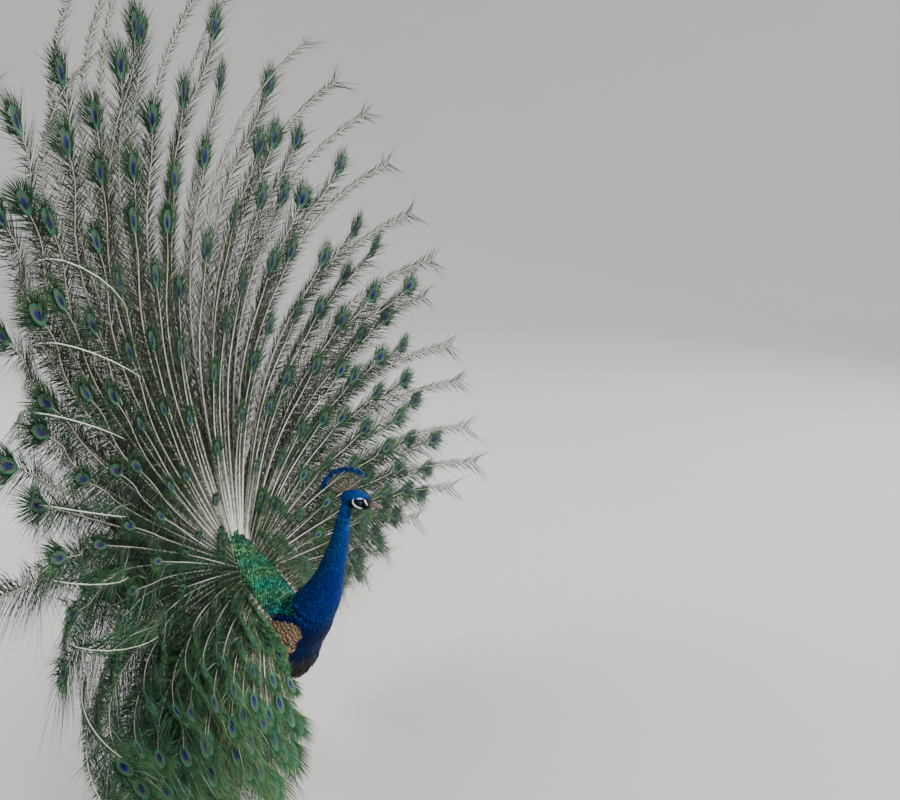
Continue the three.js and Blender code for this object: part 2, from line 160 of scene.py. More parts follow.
MM = 0.001
X_AXIS = np.array([1.0, 0.0, 0.0])
FORWARD = np.array([0.0, -1.0, 0.0])
UP = np.array([0.0, 0.0, 1.0])
GOLDEN = 0.61803398875

EYE_PLACE = np.array([14.2, -262.5, 715.0]) * MM
EYE_RADIUS = 5.0 * MM
HOME = np.array(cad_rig.box("eye_left")).mean(axis=0) - EYE_PLACE

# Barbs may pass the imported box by 3% of its size and 6 mm, and stay 3 mm above the floor. One that
# would keep less than LEAST_SHARE of its length there is left out.
BOX = np.array(CAD_BOX) - HOME
SPARE = 0.03 * (BOX[1] - BOX[0]) + 6 * MM
ROOM = (np.array([*(BOX[0] - SPARE)[:2], 3 * MM]), BOX[1] + SPARE)
LEAST_SHARE = 0.12


class Named(Enum):
    """A choice that is written in small letters."""

    def __str__(self) -> str:
        """Give the name in small letters."""
        return self.name.lower()


class Side(Named):
    """The bird's two sides, each with its sign along X."""

    LEFT = 1
    RIGHT = -1


# ------------------------------------------------------------------------------ numbers and curves
def unit(vectors: Array) -> Array:
    """Scale a vector, or each row of an array, to length one."""
    return vectors / np.maximum(np.linalg.norm(vectors, axis=-1, keepdims=True), 1e-9)


def square_to(axis: Array, vectors: Array) -> Array:
    """Turn vectors square to an axis, within the plane of the two, at length one."""
    return unit(vectors - axis * np.sum(vectors * axis, axis=-1, keepdims=True))


def swing(first: Array, second: Array, angle: Array) -> tuple[Array, Array]:
    """Turn two directions that are square to each other, the first towards the second, in radians."""
    return first * np.cos(angle) + second * np.sin(angle), second * np.cos(angle) - first * np.sin(angle)


def ease(values: Array | float, start: float, end: float) -> Array:
    """Rise smoothly from 0 at `start` to 1 at `end`."""
    share = np.clip((np.asarray(values, float) - start) / (end - start), 0, 1)
    return share * share * (3 - 2 * share)


def blend(first: Any, second: Any, share: Array | float) -> Array:
    """Mix two colours, or rows of them, by one share or a share for each row."""
    weight = np.asarray(share, float)[..., None]
    return np.asarray(first) * (1 - weight) + np.asarray(second) * weight


def columns(*parts: Array | float) -> Array:
    """Stand lists and single numbers side by side, with a row for each entry."""
    return np.stack(np.broadcast_arrays(*parts), axis=-1)


def smooth_rows(rows: Sequence, steps: int) -> Array:
    """Pass a smooth curve through rows of numbers.

    Args:
        rows: The rows to pass through, evenly numbered.
        steps: Count of steps over the whole length.

    Returns:
        steps + 1 rows on the curve.
    """
    rows = np.asarray(rows, float)
    padded = np.vstack([2 * rows[0] - rows[1], rows, 2 * rows[-1] - rows[-2]])
    knots = np.linspace(0, len(rows) - 1, steps + 1)
    first = np.minimum(knots.astype(int), len(rows) - 2)
    t = (knots - first)[:, None]
    a, b, c, d = (padded[first + k] for k in range(4))
    square, cube = (2 * a - 5 * b + 4 * c - d) * t ** 2, (3 * b - a - 3 * c + d) * t ** 3
    return 0.5 * (2 * b + (c - a) * t + square + cube)


def headings(points: Array) -> Array:
    """Give the direction of a line at each of its points."""
    return unit(np.gradient(points, axis=0))


def around(count: int) -> Array:
    """Spread angles evenly over one turn, in radians."""
    return np.linspace(0, 2 * np.pi, count, endpoint=False)


# ------------------------------------------------------------------------------ meshes
def linked(name: str, data: bpy.types.ID) -> Obj:
    """Put data into the scene as an object.

    Args:
        name: Name of the object.
        data: A mesh, a light or a camera.

    Returns:
        The object.
    """
    made = bpy.data.objects.new(name, data)
    bpy.context.scene.collection.objects.link(made)
    return made


def new_object(name: str, points: Array, faces: Sequence = (), edges: Sequence = ()) -> Obj:
    """Make a mesh object from points in the bird's frame, with its place in its mesh.

    Args:
        name: Name of the object.
        points: Places in the bird's frame.
        faces: Corners of each face.
        edges: Ends of each loose edge.

    Returns:
        The object.
    """
    mesh = bpy.data.meshes.new(name)
    mesh.from_pydata((np.asarray(points, float) + HOME).tolist(), edges, faces)
    mesh.shade_smooth()
    return linked(name, mesh)


def settled(source: Obj, name: str) -> Obj:
    """Replace an object by the plain mesh that its modifiers make of it.

    Args:
        source: The object, removed afterwards.
        name: Name of the result.

    Returns:
        The result.
    """
    graph = bpy.context.evaluated_depsgraph_get()
    mesh = bpy.data.meshes.new_from_object(source.evaluated_get(graph), depsgraph=graph)
    source.modifiers.clear()
    bpy.data.objects.remove(source)
    mesh.name = name
    mesh.shade_smooth()
    return linked(name, mesh)


def put(made: Obj, name: str, values: Array) -> None:
    """Store a number or a vector for each point of a mesh.

    Args:
        made: The mesh's object.
        name: Name of the attribute.
        values: One row for each point.
    """
    kind, entry = ("FLOAT", "value") if np.ndim(values) == 1 else ("FLOAT_VECTOR", "vector")
    attribute = made.data.attributes.new(name, kind, "POINT")
    attribute.data.foreach_set(entry, np.asarray(values, np.float32).ravel())


def take(made: Obj, name: str) -> Array:
    """Read a vector for each point of a mesh.

    Args:
        made: The mesh's object.
        name: Name of the attribute.

    Returns:
        One row for each point.
    """
    values = np.empty(len(made.data.vertices) * 3, np.float32)
    made.data.attributes[name].data.foreach_get("vector", values)
    return values.reshape(-1, 3).astype(float)


def face_outwards(made: Obj, weld: float = 0.0) -> None:
    """Turn the faces of a closed mesh outwards.

    Args:
        made: The mesh's object.
        weld: Distance under which points are joined first.
    """
    shape = bmesh.new()
    shape.from_mesh(made.data)
    if weld:
        bmesh.ops.remove_doubles(shape, verts=shape.verts, dist=weld)
    bmesh.ops.recalc_face_normals(shape, faces=shape.faces)
    shape.to_mesh(made.data)
    shape.free()


def solid(name: str, shape: Shape, material: Material, leaf: Array | None = None,
          hue: Triple | None = None) -> Obj:
    """Make a closed piece with its material and the attributes that this reads.

    Args:
        name: Name of the piece.
        shape: Its points and faces.
        material: Its material.
        leaf: Pattern coordinates of each point.
        hue: One colour for all points.

    Returns:
        The piece.
    """
    made = new_object(name, *shape)
    face_outwards(made)
    made.data.materials.append(material)
    if leaf is not None:
        put(made, "leaf", leaf)
    if hue is not None:
        put(made, "hue", np.tile(hue, (len(made.data.vertices), 1)))
    return made


def grid_faces(rows: int, width: int, closed: bool = False) -> list[list[int]]:
    """Join rows of points into four-sided faces.

    Args:
        rows: Count of rows.
        width: Points in each row.
        closed: Whether a row ends where it starts.

    Returns:
        The faces, row after row.
    """
    return [[i * width + j, i * width + (j + 1) % width,
             (i + 1) * width + (j + 1) % width, (i + 1) * width + j]
            for i in range(rows - 1) for j in range(width if closed else width - 1)]


def tube_faces(rings: int, count: int) -> list[list[int]]:
    """Join rings of points into a tube, closed by a fan to a point at each end.

    Args:
        rings: Count of rings.
        count: Points in each ring; the two end points come after the last ring.

    Returns:
        The faces.
    """
    faces = grid_faces(rings, count, closed=True)
    first, last = rings * count, (rings - 1) * count
    for j in range(count):
        k = (j + 1) % count
        faces += [[first, k, j], [first + 1, last + j, last + k]]
    return faces


def oval_tube(rows: Sequence, steps: int, count: int, inset: float = 0.0, side: Array = X_AXIS) -> Shape:
    """Loft ovals square to a smooth path.

    Args:
        rows: Rows of x, y, z, half width and half depth.
        steps: Count of steps along the path.
        count: Points in each oval.
        inset: How much smaller the ovals are made all round.
        side: Direction in which the width runs.

    Returns:
        Points, and faces that point outwards.
    """
    fine = smooth_rows(rows, steps)
    centre = fine[:, :3]
    heading = headings(centre)
    across = square_to(heading, side)
    depth = np.cross(heading, across)
    turn = around(count)[None, :, None]
    least = 0.4 * MM
    half_width, half_depth = (np.maximum(fine[:, k] - inset, least)[:, None, None] for k in (3, 4))
    rings = centre[:, None] + across[:, None] * half_width * np.cos(turn)
    rings = rings + depth[:, None] * half_depth * np.sin(turn)
    return np.vstack([rings.reshape(-1, 3), centre[0], centre[-1]]), tube_faces(steps + 1, count)


def merged(shapes: Sequence[Shape]) -> Shape:
    """Put several shapes together.

    Args:
        shapes: Points and faces of each.

    Returns:
        Points and faces of all of them.
    """
    faces, start = [], 0
    for points, own in shapes:
        faces += [[start + i for i in face] for face in own]
        start += len(points)
    return np.vstack([points for points, _ in shapes]), faces


def closed_sheet(top: Array, bottom: Array, rows: int, width: int) -> Shape:
    """Close two grids of points into one thin sheet.

    Args:
        top: Points of the outer face, row by row.
        bottom: Points of the inner face.
        rows: Count of rows.
        width: Points in each row.

    Returns:
        Points and faces.
    """
    count, faces = rows * width, []
    for quad in grid_faces(rows, width):
        faces += [quad, [count + k for k in reversed(quad)]]
    border = list(range(width)) + [i * width + width - 1 for i in range(1, rows)]
    border += [count - 1 - j for j in range(1, width)] + [i * width for i in range(rows - 2, 0, -1)]
    faces += [[b, a, count + a, count + b] for a, b in zip(border, border[1:] + border[:1])]
    return np.vstack([top, bottom]), faces


# ------------------------------------------------------------------------------ node trees
class Wiring:
    """Short hand for wiring a node tree."""

    def __init__(self, tree: Tree) -> None:
        """Keep the tree that the nodes go into."""
        self.tree = tree

    def feed(self, target: Socket, value: Any) -> None:
        """Link a socket to an input, or set the input's own value.

        Args:
            target: The input.
            value: A socket, a number, a vector or a colour.
        """
        if isinstance(value, Socket):
            self.tree.links.new(value, target)
        else:
            target.default_value = (*value[:3], 1.0) if target.type == "RGBA" else value

    def node(self, kind: str, **values: Any) -> bpy.types.Node:
        """Add a node.

        Args:
            kind: Blender's name of the node type.
            **values: First its settings, in small letters. Then its inputs: by name, with a capital
                and _ for a space, or iN for input number N.

        Returns:
            The node.
        """
        made = self.tree.nodes.new(kind)
        for name, value in values.items():
            if name[0].isupper():
                self.feed(made.inputs[name.replace("_", " ")], value)
            elif name[1:].isdigit():
                self.feed(made.inputs[int(name[1:])], value)
            else:
                setattr(made, name, value)
        return made

    def math(self, operation: str, first: Any, second: Any = 0.0, third: Any = 0.0) -> Socket:
        """Add a Math node and return its result."""
        return self.node("ShaderNodeMath", operation=operation, i0=first, i1=second, i2=third).outputs[0]

    def times(self, first: Any, second: Any) -> Socket:
        """Multiply two values."""
        return self.math("MULTIPLY", first, second)

    def minus(self, first: Any, second: Any) -> Socket:
        """Take the second value from the first."""
        return self.math("SUBTRACT", first, second)

    def vector(self, operation: str, first: Any, **second: Any) -> Socket:
        """Add a Vector Math node and return its vector."""
        return self.node("ShaderNodeVectorMath", operation=operation, i0=first, **second).outputs[0]

    def split(self, vector: Any) -> Sequence[Socket]:
        """Take a vector apart into X, Y and Z."""
        return self.node("ShaderNodeSeparateXYZ", Vector=vector).outputs

    def joined(self, **parts: Any) -> Socket:
        """Make a vector from its X, Y and Z."""
        return self.node("ShaderNodeCombineXYZ", **parts).outputs[0]

    def place(self) -> Socket:
        """Read the place on the piece."""
        return self.node("ShaderNodeTexCoord").outputs["Object"]

    def noise(self, place: Socket, scale: Any, detail: float) -> Socket:
        """Add a noise texture and return its value."""
        return self.node("ShaderNodeTexNoise", Vector=place, Scale=scale, Detail=detail).outputs["Fac"]

    def rise(self, value: Any, start: float, end: float) -> Socket:
        """Rise smoothly from 0 at `start` to 1 at `end`."""
        return self.node("ShaderNodeMapRange", interpolation_type="SMOOTHSTEP", Value=value, From_Min=start,
                         From_Max=end, To_Min=0.0, To_Max=1.0).outputs[0]

    def stripes(self, phase: Socket) -> Socket:
        """Fall from 0.5 to 0 and rise again over each whole number of the phase."""
        return self.math("ABSOLUTE", self.minus(self.math("FRACT", phase), 0.5))

    def mix(self, share: Any, first: Any, second: Any) -> Socket:
        """Mix two colours."""
        return self.node("ShaderNodeMix", data_type="RGBA", i0=share, i6=first, i7=second).outputs[2]


class Group(Wiring):
    """A node group under construction: `given` holds the sockets that it is given."""

    def __init__(self, name: str, inputs: dict[str, Any], outputs: dict[str, str],
                 kind: str = "Shader") -> None:
        """Open the group.

        Args:
            name: Name of the group.
            inputs: Name of each input, with its default or with the name of its socket type.
            outputs: Name of each output, with the name of its socket type.
            kind: Shader or Geometry.
        """
        super().__init__(bpy.data.node_groups.new(name, f"{kind}NodeTree"))
        face = self.tree.interface
        for label, value in inputs.items():
            if isinstance(value, str):
                face.new_socket(label, in_out="INPUT", socket_type=f"NodeSocket{value}")
                continue
            if np.isscalar(value):
                own = type(value).__name__.capitalize()
            else:
                own = ("Vector", "Color")[len(value) - 3]
            face.new_socket(label, in_out="INPUT", socket_type=f"NodeSocket{own}").default_value = value
        for label, own in outputs.items():
            face.new_socket(label, in_out="OUTPUT", socket_type=f"NodeSocket{own}")
        entry = self.tree.nodes.new("NodeGroupInput")
        self.leave = self.tree.nodes.new("NodeGroupOutput")
        self.given = {socket.name: socket for socket in entry.outputs if socket.name}

    def finish(self, *results: Socket) -> Tree:
        """Link the results to the outputs.

        Args:
            *results: A socket for each output.

        Returns:
            The group's tree.
        """
        for result, target in zip(results, self.leave.inputs):
            self.feed(target, result)
        return self.tree


class Recipe(Group):
    """A geometry node tree under construction."""

    def __init__(self, name: str, **inputs: Any) -> None:
        """Open the tree.

        Args:
            name: Its name.
            **inputs: Its inputs as for a group, with _ for a space.
        """
        given = {label.replace("_", " "): value for label, value in inputs.items()}
        super().__init__(name, {"Geometry": "Geometry", **given}, {"Geometry": "Geometry"}, "Geometry")
        self.tree.is_modifier = True

    def step(self, kind: str, **values: Any) -> Socket:
        """Add a geometry node and return its first result."""
        return self.node(f"GeometryNode{kind}", **values).outputs[0]

    def named(self, name: str, kind: str = "FLOAT_VECTOR") -> Socket:
        """Read an attribute."""
        return self.step("InputNamedAttribute", data_type=kind, Name=name)

    def stored(self, geometry: Socket, name: str, value: Socket, kind: str, domain: str = "POINT") -> Socket:
        """Store an attribute."""
        return self.step("StoreNamedAttribute", data_type=kind, domain=domain, Geometry=geometry, Name=name,
                         Value=value)

    def on_bake_map(self, geometry: Socket, aside: Socket) -> Socket:
        """Store each corner's place on the bake map: its feather's seat and a step aside from it."""
        seat = self.vector("ADD", self.named("seat"), i1=aside)
        return self.stored(geometry, "OFBake", seat, "FLOAT2", "CORNER")

    def dressed(self, geometry: Socket) -> Tree:
        """Give the geometry its material and end the tree."""
        return self.finish(self.step("SetMaterial", Geometry=geometry, Material=self.given["Material"]))


def plume_tree() -> Tree:
    """Build the tree that sets one small template on every point of a cloud.

    Each point says which way its template lies and faces, its size, how far its tip is drawn aside,
    and where its patch sits on the bake map.

    Returns:
        The tree.
    """
    tree = Recipe("plumes", Template="Object", Material="Material", Patch=0.003, Curl_Power=2.0)
    turn = tree.node("FunctionNodeAxesToRotation", primary_axis="Y", secondary_axis="Z", i0=tree.named("lie"),
                     i1=tree.named("face")).outputs[0]
    template = tree.node("GeometryNodeObjectInfo", Object=tree.given["Template"]).outputs["Geometry"]
    spread = tree.step("InstanceOnPoints", Points=tree.given["Geometry"], Instance=template, Rotation=turn,
                       Scale=tree.named("size"))
    real = tree.step("RealizeInstances", Geometry=spread)
    reach = tree.math("POWER", tree.split(tree.named("leaf"))[1], tree.given["Curl Power"])
    bent = tree.step("SetPosition", Geometry=real,
                     Offset=tree.vector("SCALE", tree.named("bend"), Scale=reach))
    patch = tree.vector("SCALE", tree.named("chart"), Scale=tree.given["Patch"])
    return tree.dressed(tree.on_bake_map(bent, patch))


def quill_tree() -> Tree:
    """Build the tree that turns lines into round tapering quills.

    Returns:
        The tree.
    """
    tree = Recipe("quills", Sides=5, Material="Material", Patch=0.003)
    curve = tree.step("MeshToCurve", Mesh=tree.given["Geometry"])
    circle = tree.step("CurvePrimitiveCircle", Resolution=tree.given["Sides"], Radius=1.0)
    turned = tree.node("GeometryNodeSplineParameter").outputs["Factor"]
    profile = tree.stored(circle, "around", turned, "FLOAT")
    tube = tree.step("CurveToMesh", Curve=curve, Profile_Curve=profile, Fill_Caps=True,
                     Scale=tree.named("girth", "FLOAT"))
    aside = tree.joined(Y=tree.times(tree.named("around", "FLOAT"), tree.given["Patch"]))
    real = tree.step("RealizeInstances", Geometry=tree.on_bake_map(tube, aside))
    return tree.dressed(real)


def scatter_tree() -> Tree:
    """Build the tree that scatters feather roots evenly over one region of a skin.

    Returns:
        The tree.
    """
    tree = Recipe("roots", Spacing=0.005, Seed=1, Region=0.0)
    chosen = tree.node("FunctionNodeCompare", data_type="FLOAT", operation="EQUAL",
                       i0=tree.named("region", "FLOAT"), i1=tree.given["Region"], Epsilon=0.5).outputs[0]
    spacing = tree.given["Spacing"]
    spread = tree.node("GeometryNodeDistributePointsOnFaces", distribute_method="POISSON",
                       Mesh=tree.given["Geometry"], Selection=chosen, Distance_Min=spacing,
                       Density_Max=tree.math("DIVIDE", 3.0, tree.times(spacing, spacing)),
                       Seed=tree.given["Seed"]).outputs
    kept = tree.stored(spread["Points"], "outward", spread["Normal"], "FLOAT_VECTOR")
    return tree.finish(tree.step("RealizeInstances", Geometry=tree.step("PointsToVertices", Points=kept)))


def run_tree(source: Obj, tree: Tree, name: str, **values: Any) -> Obj:
    """Run a geometry node tree on an object and keep the result as a plain mesh.

    Args:
        source: Object that carries the points or lines, removed afterwards.
        tree: The tree.
        name: Name of the result.
        **values: Inputs by name, with _ for a space.

    Returns:
        The result as an object of its own.
    """
    modifier = source.modifiers.new(tree.name, "NODES")
    modifier.node_group = tree
    for item in tree.interface.items_tree:
        if item.in_out == "INPUT" and item.name.replace(" ", "_") in values:
            modifier[item.identifier] = values[item.name.replace(" ", "_")]
    return settled(source, name)


# ------------------------------------------------------------------------------ plumes, lines and templates
@dataclass
class Cloud:
    """Many small feathers or barbs in the bird's frame; a field is one row, or a row for each place."""

    place: Array
    lie: Array
    face: Array
    size: Array
    bend: Array
    seat: Array
    hue: Array
    tone: Array

    def __post_init__(self) -> None:
        """Give every field a row for each place."""
        for spot in fields(self):
            rows = np.broadcast_to(getattr(self, spot.name), np.atleast_2d(self.place).shape)
            setattr(self, spot.name, rows)

    @staticmethod
    def together(clouds: Sequence["Cloud"]) -> "Cloud":
        """Put several clouds in one."""
        return Cloud(*(np.vstack([getattr(cloud, spot.name) for cloud in clouds]) for spot in fields(Cloud)))

    def within(self, low: Array, high: Array) -> "Cloud":
        """Shorten the rows whose tips would leave a box, and drop those left with almost nothing.

        Args:
            low: The box's low corner in the bird's frame.
            high: Its high corner.

        Returns:
            The rows that stay.
        """
        reach = self.lie * self.size[:, 1:2] + self.bend
        wall = np.clip(self.place + reach, low, high)
        with np.errstate(divide="ignore", invalid="ignore"):
            share = np.where(np.abs(reach) > 1e-9, (wall - self.place) / reach, 1.0)
        share = np.clip(share.min(axis=1), 0, 1)
        kept = share > LEAST_SHARE
        stay = Cloud(*(getattr(self, spot.name)[kept] for spot in fields(self)))
        stay.size = stay.size * columns(1, share[kept], 1)
        stay.bend = stay.bend * share[kept][:, None]
        return stay

    def points(self, name: str) -> Obj:
        """Make loose vertices that carry the rows as attributes.

        Args:
            name: Name of the object.

        Returns:
            The object.
        """
        made = new_object(name, self.place)
        for spot in fields(self)[1:]:
            put(made, spot.name, getattr(self, spot.name))
        return made


@dataclass
class Lines:
    """Lines that become quills: places, radius, hue and seat on the bake map at each point."""

    places: list[Array] = field(default_factory=list)
    girths: list[Array] = field(default_factory=list)
    hues: list[Array] = field(default_factory=list)
    seats: list[Array] = field(default_factory=list)

    def add(self, *rows: Array) -> None:
        """Add one line: its places, radii, hues and seats."""
        for kept, own in zip((self.places, self.girths, self.hues, self.seats), rows):
            kept.append(own)

    def wires(self, name: str) -> Obj:
        """Make loose edges that carry the rows as attributes.

        Args:
            name: Name of the object.

        Returns:
            The object.
        """
        edges, start = [], 0
        for places in self.places:
            edges += [(start + i, start + i + 1) for i in range(len(places) - 1)]
            start += len(places)
        made = new_object(name, np.vstack(self.places), (), edges)
        put(made, "girth", np.concatenate(self.girths))
        put(made, "hue", np.vstack(self.hues))
        put(made, "seat", np.vstack(self.seats))
        return made


def template(name: str, points: Sequence, faces: Sequence, leaf: Sequence, fold: bool = False) -> Obj:
    """Make a template of length 1 along +Y, its face towards +Z.

    Args:
        name: Name of the template.
        points: Its points.
        faces: Its faces.
        leaf: For each point, how far across (-1 to 1) and along (0 to 1) it lies, and its side.
        fold: Whether front and rear lie side by side on the bake map.

    Returns:
        The template's object.
    """
    made = new_object(f"template_{name}", np.asarray(points) - HOME, faces)
    across, along, front = np.array(leaf).T
    put(made, "leaf", np.array(leaf))
    chart = across * 0.24 + np.where(front > 0, 0.25, 0.75) if fold else across / 2 + 0.5
    put(made, "chart", columns(chart, along, 0))
    made.hide_render = True
    return made


def barb_template(name: str, shares: Sequence[float], widths: Sequence[float]) -> Obj:
    """Make a barb: a three-sided blade that tapers to a point.

    Args:
        name: Name of the template.
        shares: Where its rings sit along it.
        widths: Width of each ring.

    Returns:
        The template.
    """
    corners = ((-0.5, 0.0), (0.5, 0.0), (0.0, 1.0))
    points = [(x * width, share, z * width) for share, width in zip(shares, widths) for x, z in corners]
    leaf = [(2 * x, share, z) for share in shares for x, z in corners]
    tip = len(points)
    faces = grid_faces(len(shares), 3, closed=True)
    faces += [(tip - 3, tip - 2, tip), (tip - 2, tip - 1, tip), (tip - 1, tip - 3, tip)]
    return template(name, points + [(0, 1, 0)], faces + [(0, 2, 1)], leaf + [(0, 1, 0.5)])


def scale_template(name: str, outline: Sequence[tuple[float, float]], ridge: float, rings: int = 1) -> Obj:
    """Make a small body feather: a domed leaf over a flat underside.

    Args:
        name: Name of the template.
        outline: Half width and reach of each point of the right edge, between root and tip.
        ridge: Where along it the dome is highest.
        rings: Count of rings of points between the top and the edge.

    Returns:
        The template.
    """
    edge = [(0.0, 0.0), *outline, (0.0, 1.0)] + [(-x, y) for x, y in reversed(outline)]
    count = len(edge)
    points = [(x * (1 - share), y + (ridge - y) * share, 1 - (1 - share) ** 2)
              for share in np.arange(rings) / rings for x, y in edge] + [(0.0, ridge, 1.0)]
    start, centre = count * (rings - 1), count * rings
    faces = grid_faces(rings, count, closed=True)
    faces += [(start + j, start + (j + 1) % count, centre) for j in range(count)]
    widest = max(x for x, _ in edge)
    return template(name, points, faces + [tuple(reversed(range(count)))], np.array(points) / (widest, 1, 1))


def plate_template(name: str, outline: Callable[[float], float], rows: int, cup: float) -> Obj:
    """Make a thin closed vane with a front and a rear.

    Args:
        name: Name of the template.
        outline: Half width at a share of the length, for a length of 1.
        rows: Count of steps along it.
        cup: How far its edges stand forward, in thicknesses.

    Returns:
        The template.
    """
    width = 7
    shares = 0.5 - 0.5 * np.cos(np.linspace(0, np.pi, rows + 1)[1:-1])
    points, leaf = [], []
    for front in (1, -1):
        for share in shares:
            for x in np.linspace(-1, 1, width):
                points.append((x * outline(share), share, front * 0.5 * (1 - abs(x) ** 3) + cup * x * x))
                leaf.append((x, share, front))
        points += [(0.0, 0.0, 0.0), (0.0, 1.0, 0.0)]
        leaf += [(0.0, 0.0, front), (0.0, 1.0, front)]
    count = len(shares) * width
    block = count + 2
    faces = []
    for quad in grid_faces(len(shares), width):
        faces += [quad, [block + k for k in reversed(quad)]]
    for j in range(width - 1):
        end = count - width + j
        fans = ((count, j + 1, j), (count + 1, end, end + 1))
        faces += [*fans, *((block + a, block + c, block + b) for a, b, c in fans)]
    made = template(name, points, faces, leaf, fold=True)
    face_outwards(made, weld=1e-5)
    return made


# ------------------------------------------------------------------------------ shader groups
def shimmer_group() -> Tree:
    """Build the drift of hue and depth that a glossy plumage shows over a hand's breadth.

    Returns:
        The group.
    """
    inputs = {"Color": (0.1, 0.2, 0.1, 1), "Scale": 14.0, "Hue Drift": 0.05, "Value Drift": 0.5, "Tone": 0.5}
    tree = Group("shimmer", inputs, {"Color": "Color"})
    given, place = tree.given, tree.place()
    coarse = tree.noise(place, given["Scale"], 3.0)
    fine = tree.noise(place, tree.times(given["Scale"], 9.0), 2.0)
    hue = tree.math("MULTIPLY_ADD", tree.minus(coarse, 0.5), given["Hue Drift"], 0.5)
    both = tree.math("ADD", tree.times(fine, 0.5), tree.times(given["Tone"], 0.5))
    value = tree.math("MULTIPLY_ADD", tree.minus(both, 0.5), given["Value Drift"], 1.0)
    shifted = tree.node("ShaderNodeHueSaturation", Color=given["Color"], Hue=hue, Value=value)
    return tree.finish(shifted.outputs[0])


def vane_group() -> Tree:
    """Build the fine barb lines, the pale shaft and the shaded rim of one flat feather.

    Returns:
        The group.
    """
    inputs = {"Leaf": (0, 0, 0), "Lines": 30.0, "Slant": 0.6, "Shaft Width": 0.06, "Rim Start": 0.55}
    tree = Group("vane", inputs, {"Line": "Float", "Shaft": "Float", "Rim": "Float"})
    across, along, _ = tree.split(tree.given["Leaf"])
    aside = tree.math("ABSOLUTE", across)
    slanted = tree.times(tree.minus(along, tree.times(aside, tree.given["Slant"])), tree.given["Lines"])
    line = tree.times(tree.stripes(slanted), 2.0)
    shaft = tree.math("LESS_THAN", aside, tree.given["Shaft Width"])
    far = tree.math("MAXIMUM", aside, tree.times(tree.minus(along, 0.35), 1.45))
    start = tree.given["Rim Start"]
    rim = tree.math("DIVIDE", tree.minus(far, start), tree.minus(1.0, start))
    return tree.finish(line, shaft, tree.node("ShaderNodeClamp", Value=rim).outputs[0])


@dataclass(frozen=True)
class EyeRing:
    """One oval of an eyed feather's spot, measured on a spot of half width 1 and length 1."""

    name: str
    half_width: float
    half_length: float
    centre: float
    soft: float
    color: Triple


EYE_RINGS = (
    EyeRing("teal", 0.92, 0.46, 0.50, 0.20, (0.030, 0.210, 0.135)),
    EyeRing("olive_gold", 0.74, 0.400, 0.515, 0.14, (0.110, 0.180, 0.085)),
    EyeRing("bronze", 0.62, 0.345, 0.530, 0.12, (0.135, 0.120, 0.080)),
    EyeRing("turquoise", 0.45, 0.265, 0.475, 0.14, (0.012, 0.130, 0.190)),
    EyeRing("violet_blue", 0.37, 0.225, 0.465, 0.12, (0.010, 0.008, 0.075)),
)


def eye_spot_group() -> Tree:
    """Build the nested ovals of the eyed feathers' spot.

    Returns:
        The group.
    """
    tree = Group("eye_spot", {"Leaf": (0, 0, 0), "Rim Color": (0.03, 0.13, 0.035, 1)},
                 {"Color": "Color", "Gloss": "Float"})
    across, along, _ = tree.split(tree.given["Leaf"])
    ragged = tree.noise(tree.vector("SCALE", tree.given["Leaf"], Scale=7.0), 1.0, 2.0)
    rough_edge = tree.times(tree.minus(ragged, 0.5), 0.14)
    color = tree.given["Rim Color"]
    for ring in EYE_RINGS:
        x = tree.math("DIVIDE", across, ring.half_width)
        y = tree.math("DIVIDE", tree.minus(along, ring.centre), ring.half_length)
        far = tree.math("SQRT", tree.math("ADD", tree.times(x, x), tree.times(y, y)))
        inside = tree.rise(tree.math("ADD", far, rough_edge), 1 + ring.soft, 1 - ring.soft)
        color = tree.mix(inside, color, ring.color)
    core = tree.times(tree.rise(along, 0.40, 0.66), inside)
    return tree.finish(tree.mix(core, color, (0.014, 0.022, 0.200)), inside)


def scute_group() -> Tree:
    """Build the plates of a bird's leg: rows of scutes parted by dark seams.

    Returns:
        The group.
    """
    tree = Group("scutes", {"Leaf": (0, 0, 0), "Rows": 26.0, "Columns": 2.5},
                 {"Height": "Float", "Seam": "Float", "Grain": "Float"})
    across, along, _ = tree.split(tree.given["Leaf"])
    cells = tree.joined(X=tree.times(across, tree.given["Columns"]), Y=tree.times(along, tree.given["Rows"]))
    edge = tree.node("ShaderNodeTexVoronoi", feature="DISTANCE_TO_EDGE", voronoi_dimensions="2D",
                     Vector=cells, Scale=1.0, Randomness=0.45).outputs["Distance"]
    grain = tree.noise(tree.place(), 420.0, 3.0)
    return tree.finish(tree.rise(edge, 0.0, 0.16), tree.rise(edge, 0.10, 0.0), grain)


def mottle_group() -> Tree:
    """Build a mottled mask and a fine grain for horn, skin and floor.

    Returns:
        The group.
    """
    tree = Group("mottle", {"Scale": 60.0, "Stretch": (1, 1, 1)}, {"Patch": "Float", "Grain": "Float"})
    drawn = tree.vector("MULTIPLY", tree.place(), i1=tree.given["Stretch"])
    patch = tree.noise(drawn, tree.given["Scale"], 4.0)
    grain = tree.noise(drawn, tree.times(tree.given["Scale"], 7.0), 3.0)
    return tree.finish(tree.rise(patch, 0.35, 0.65), grain)


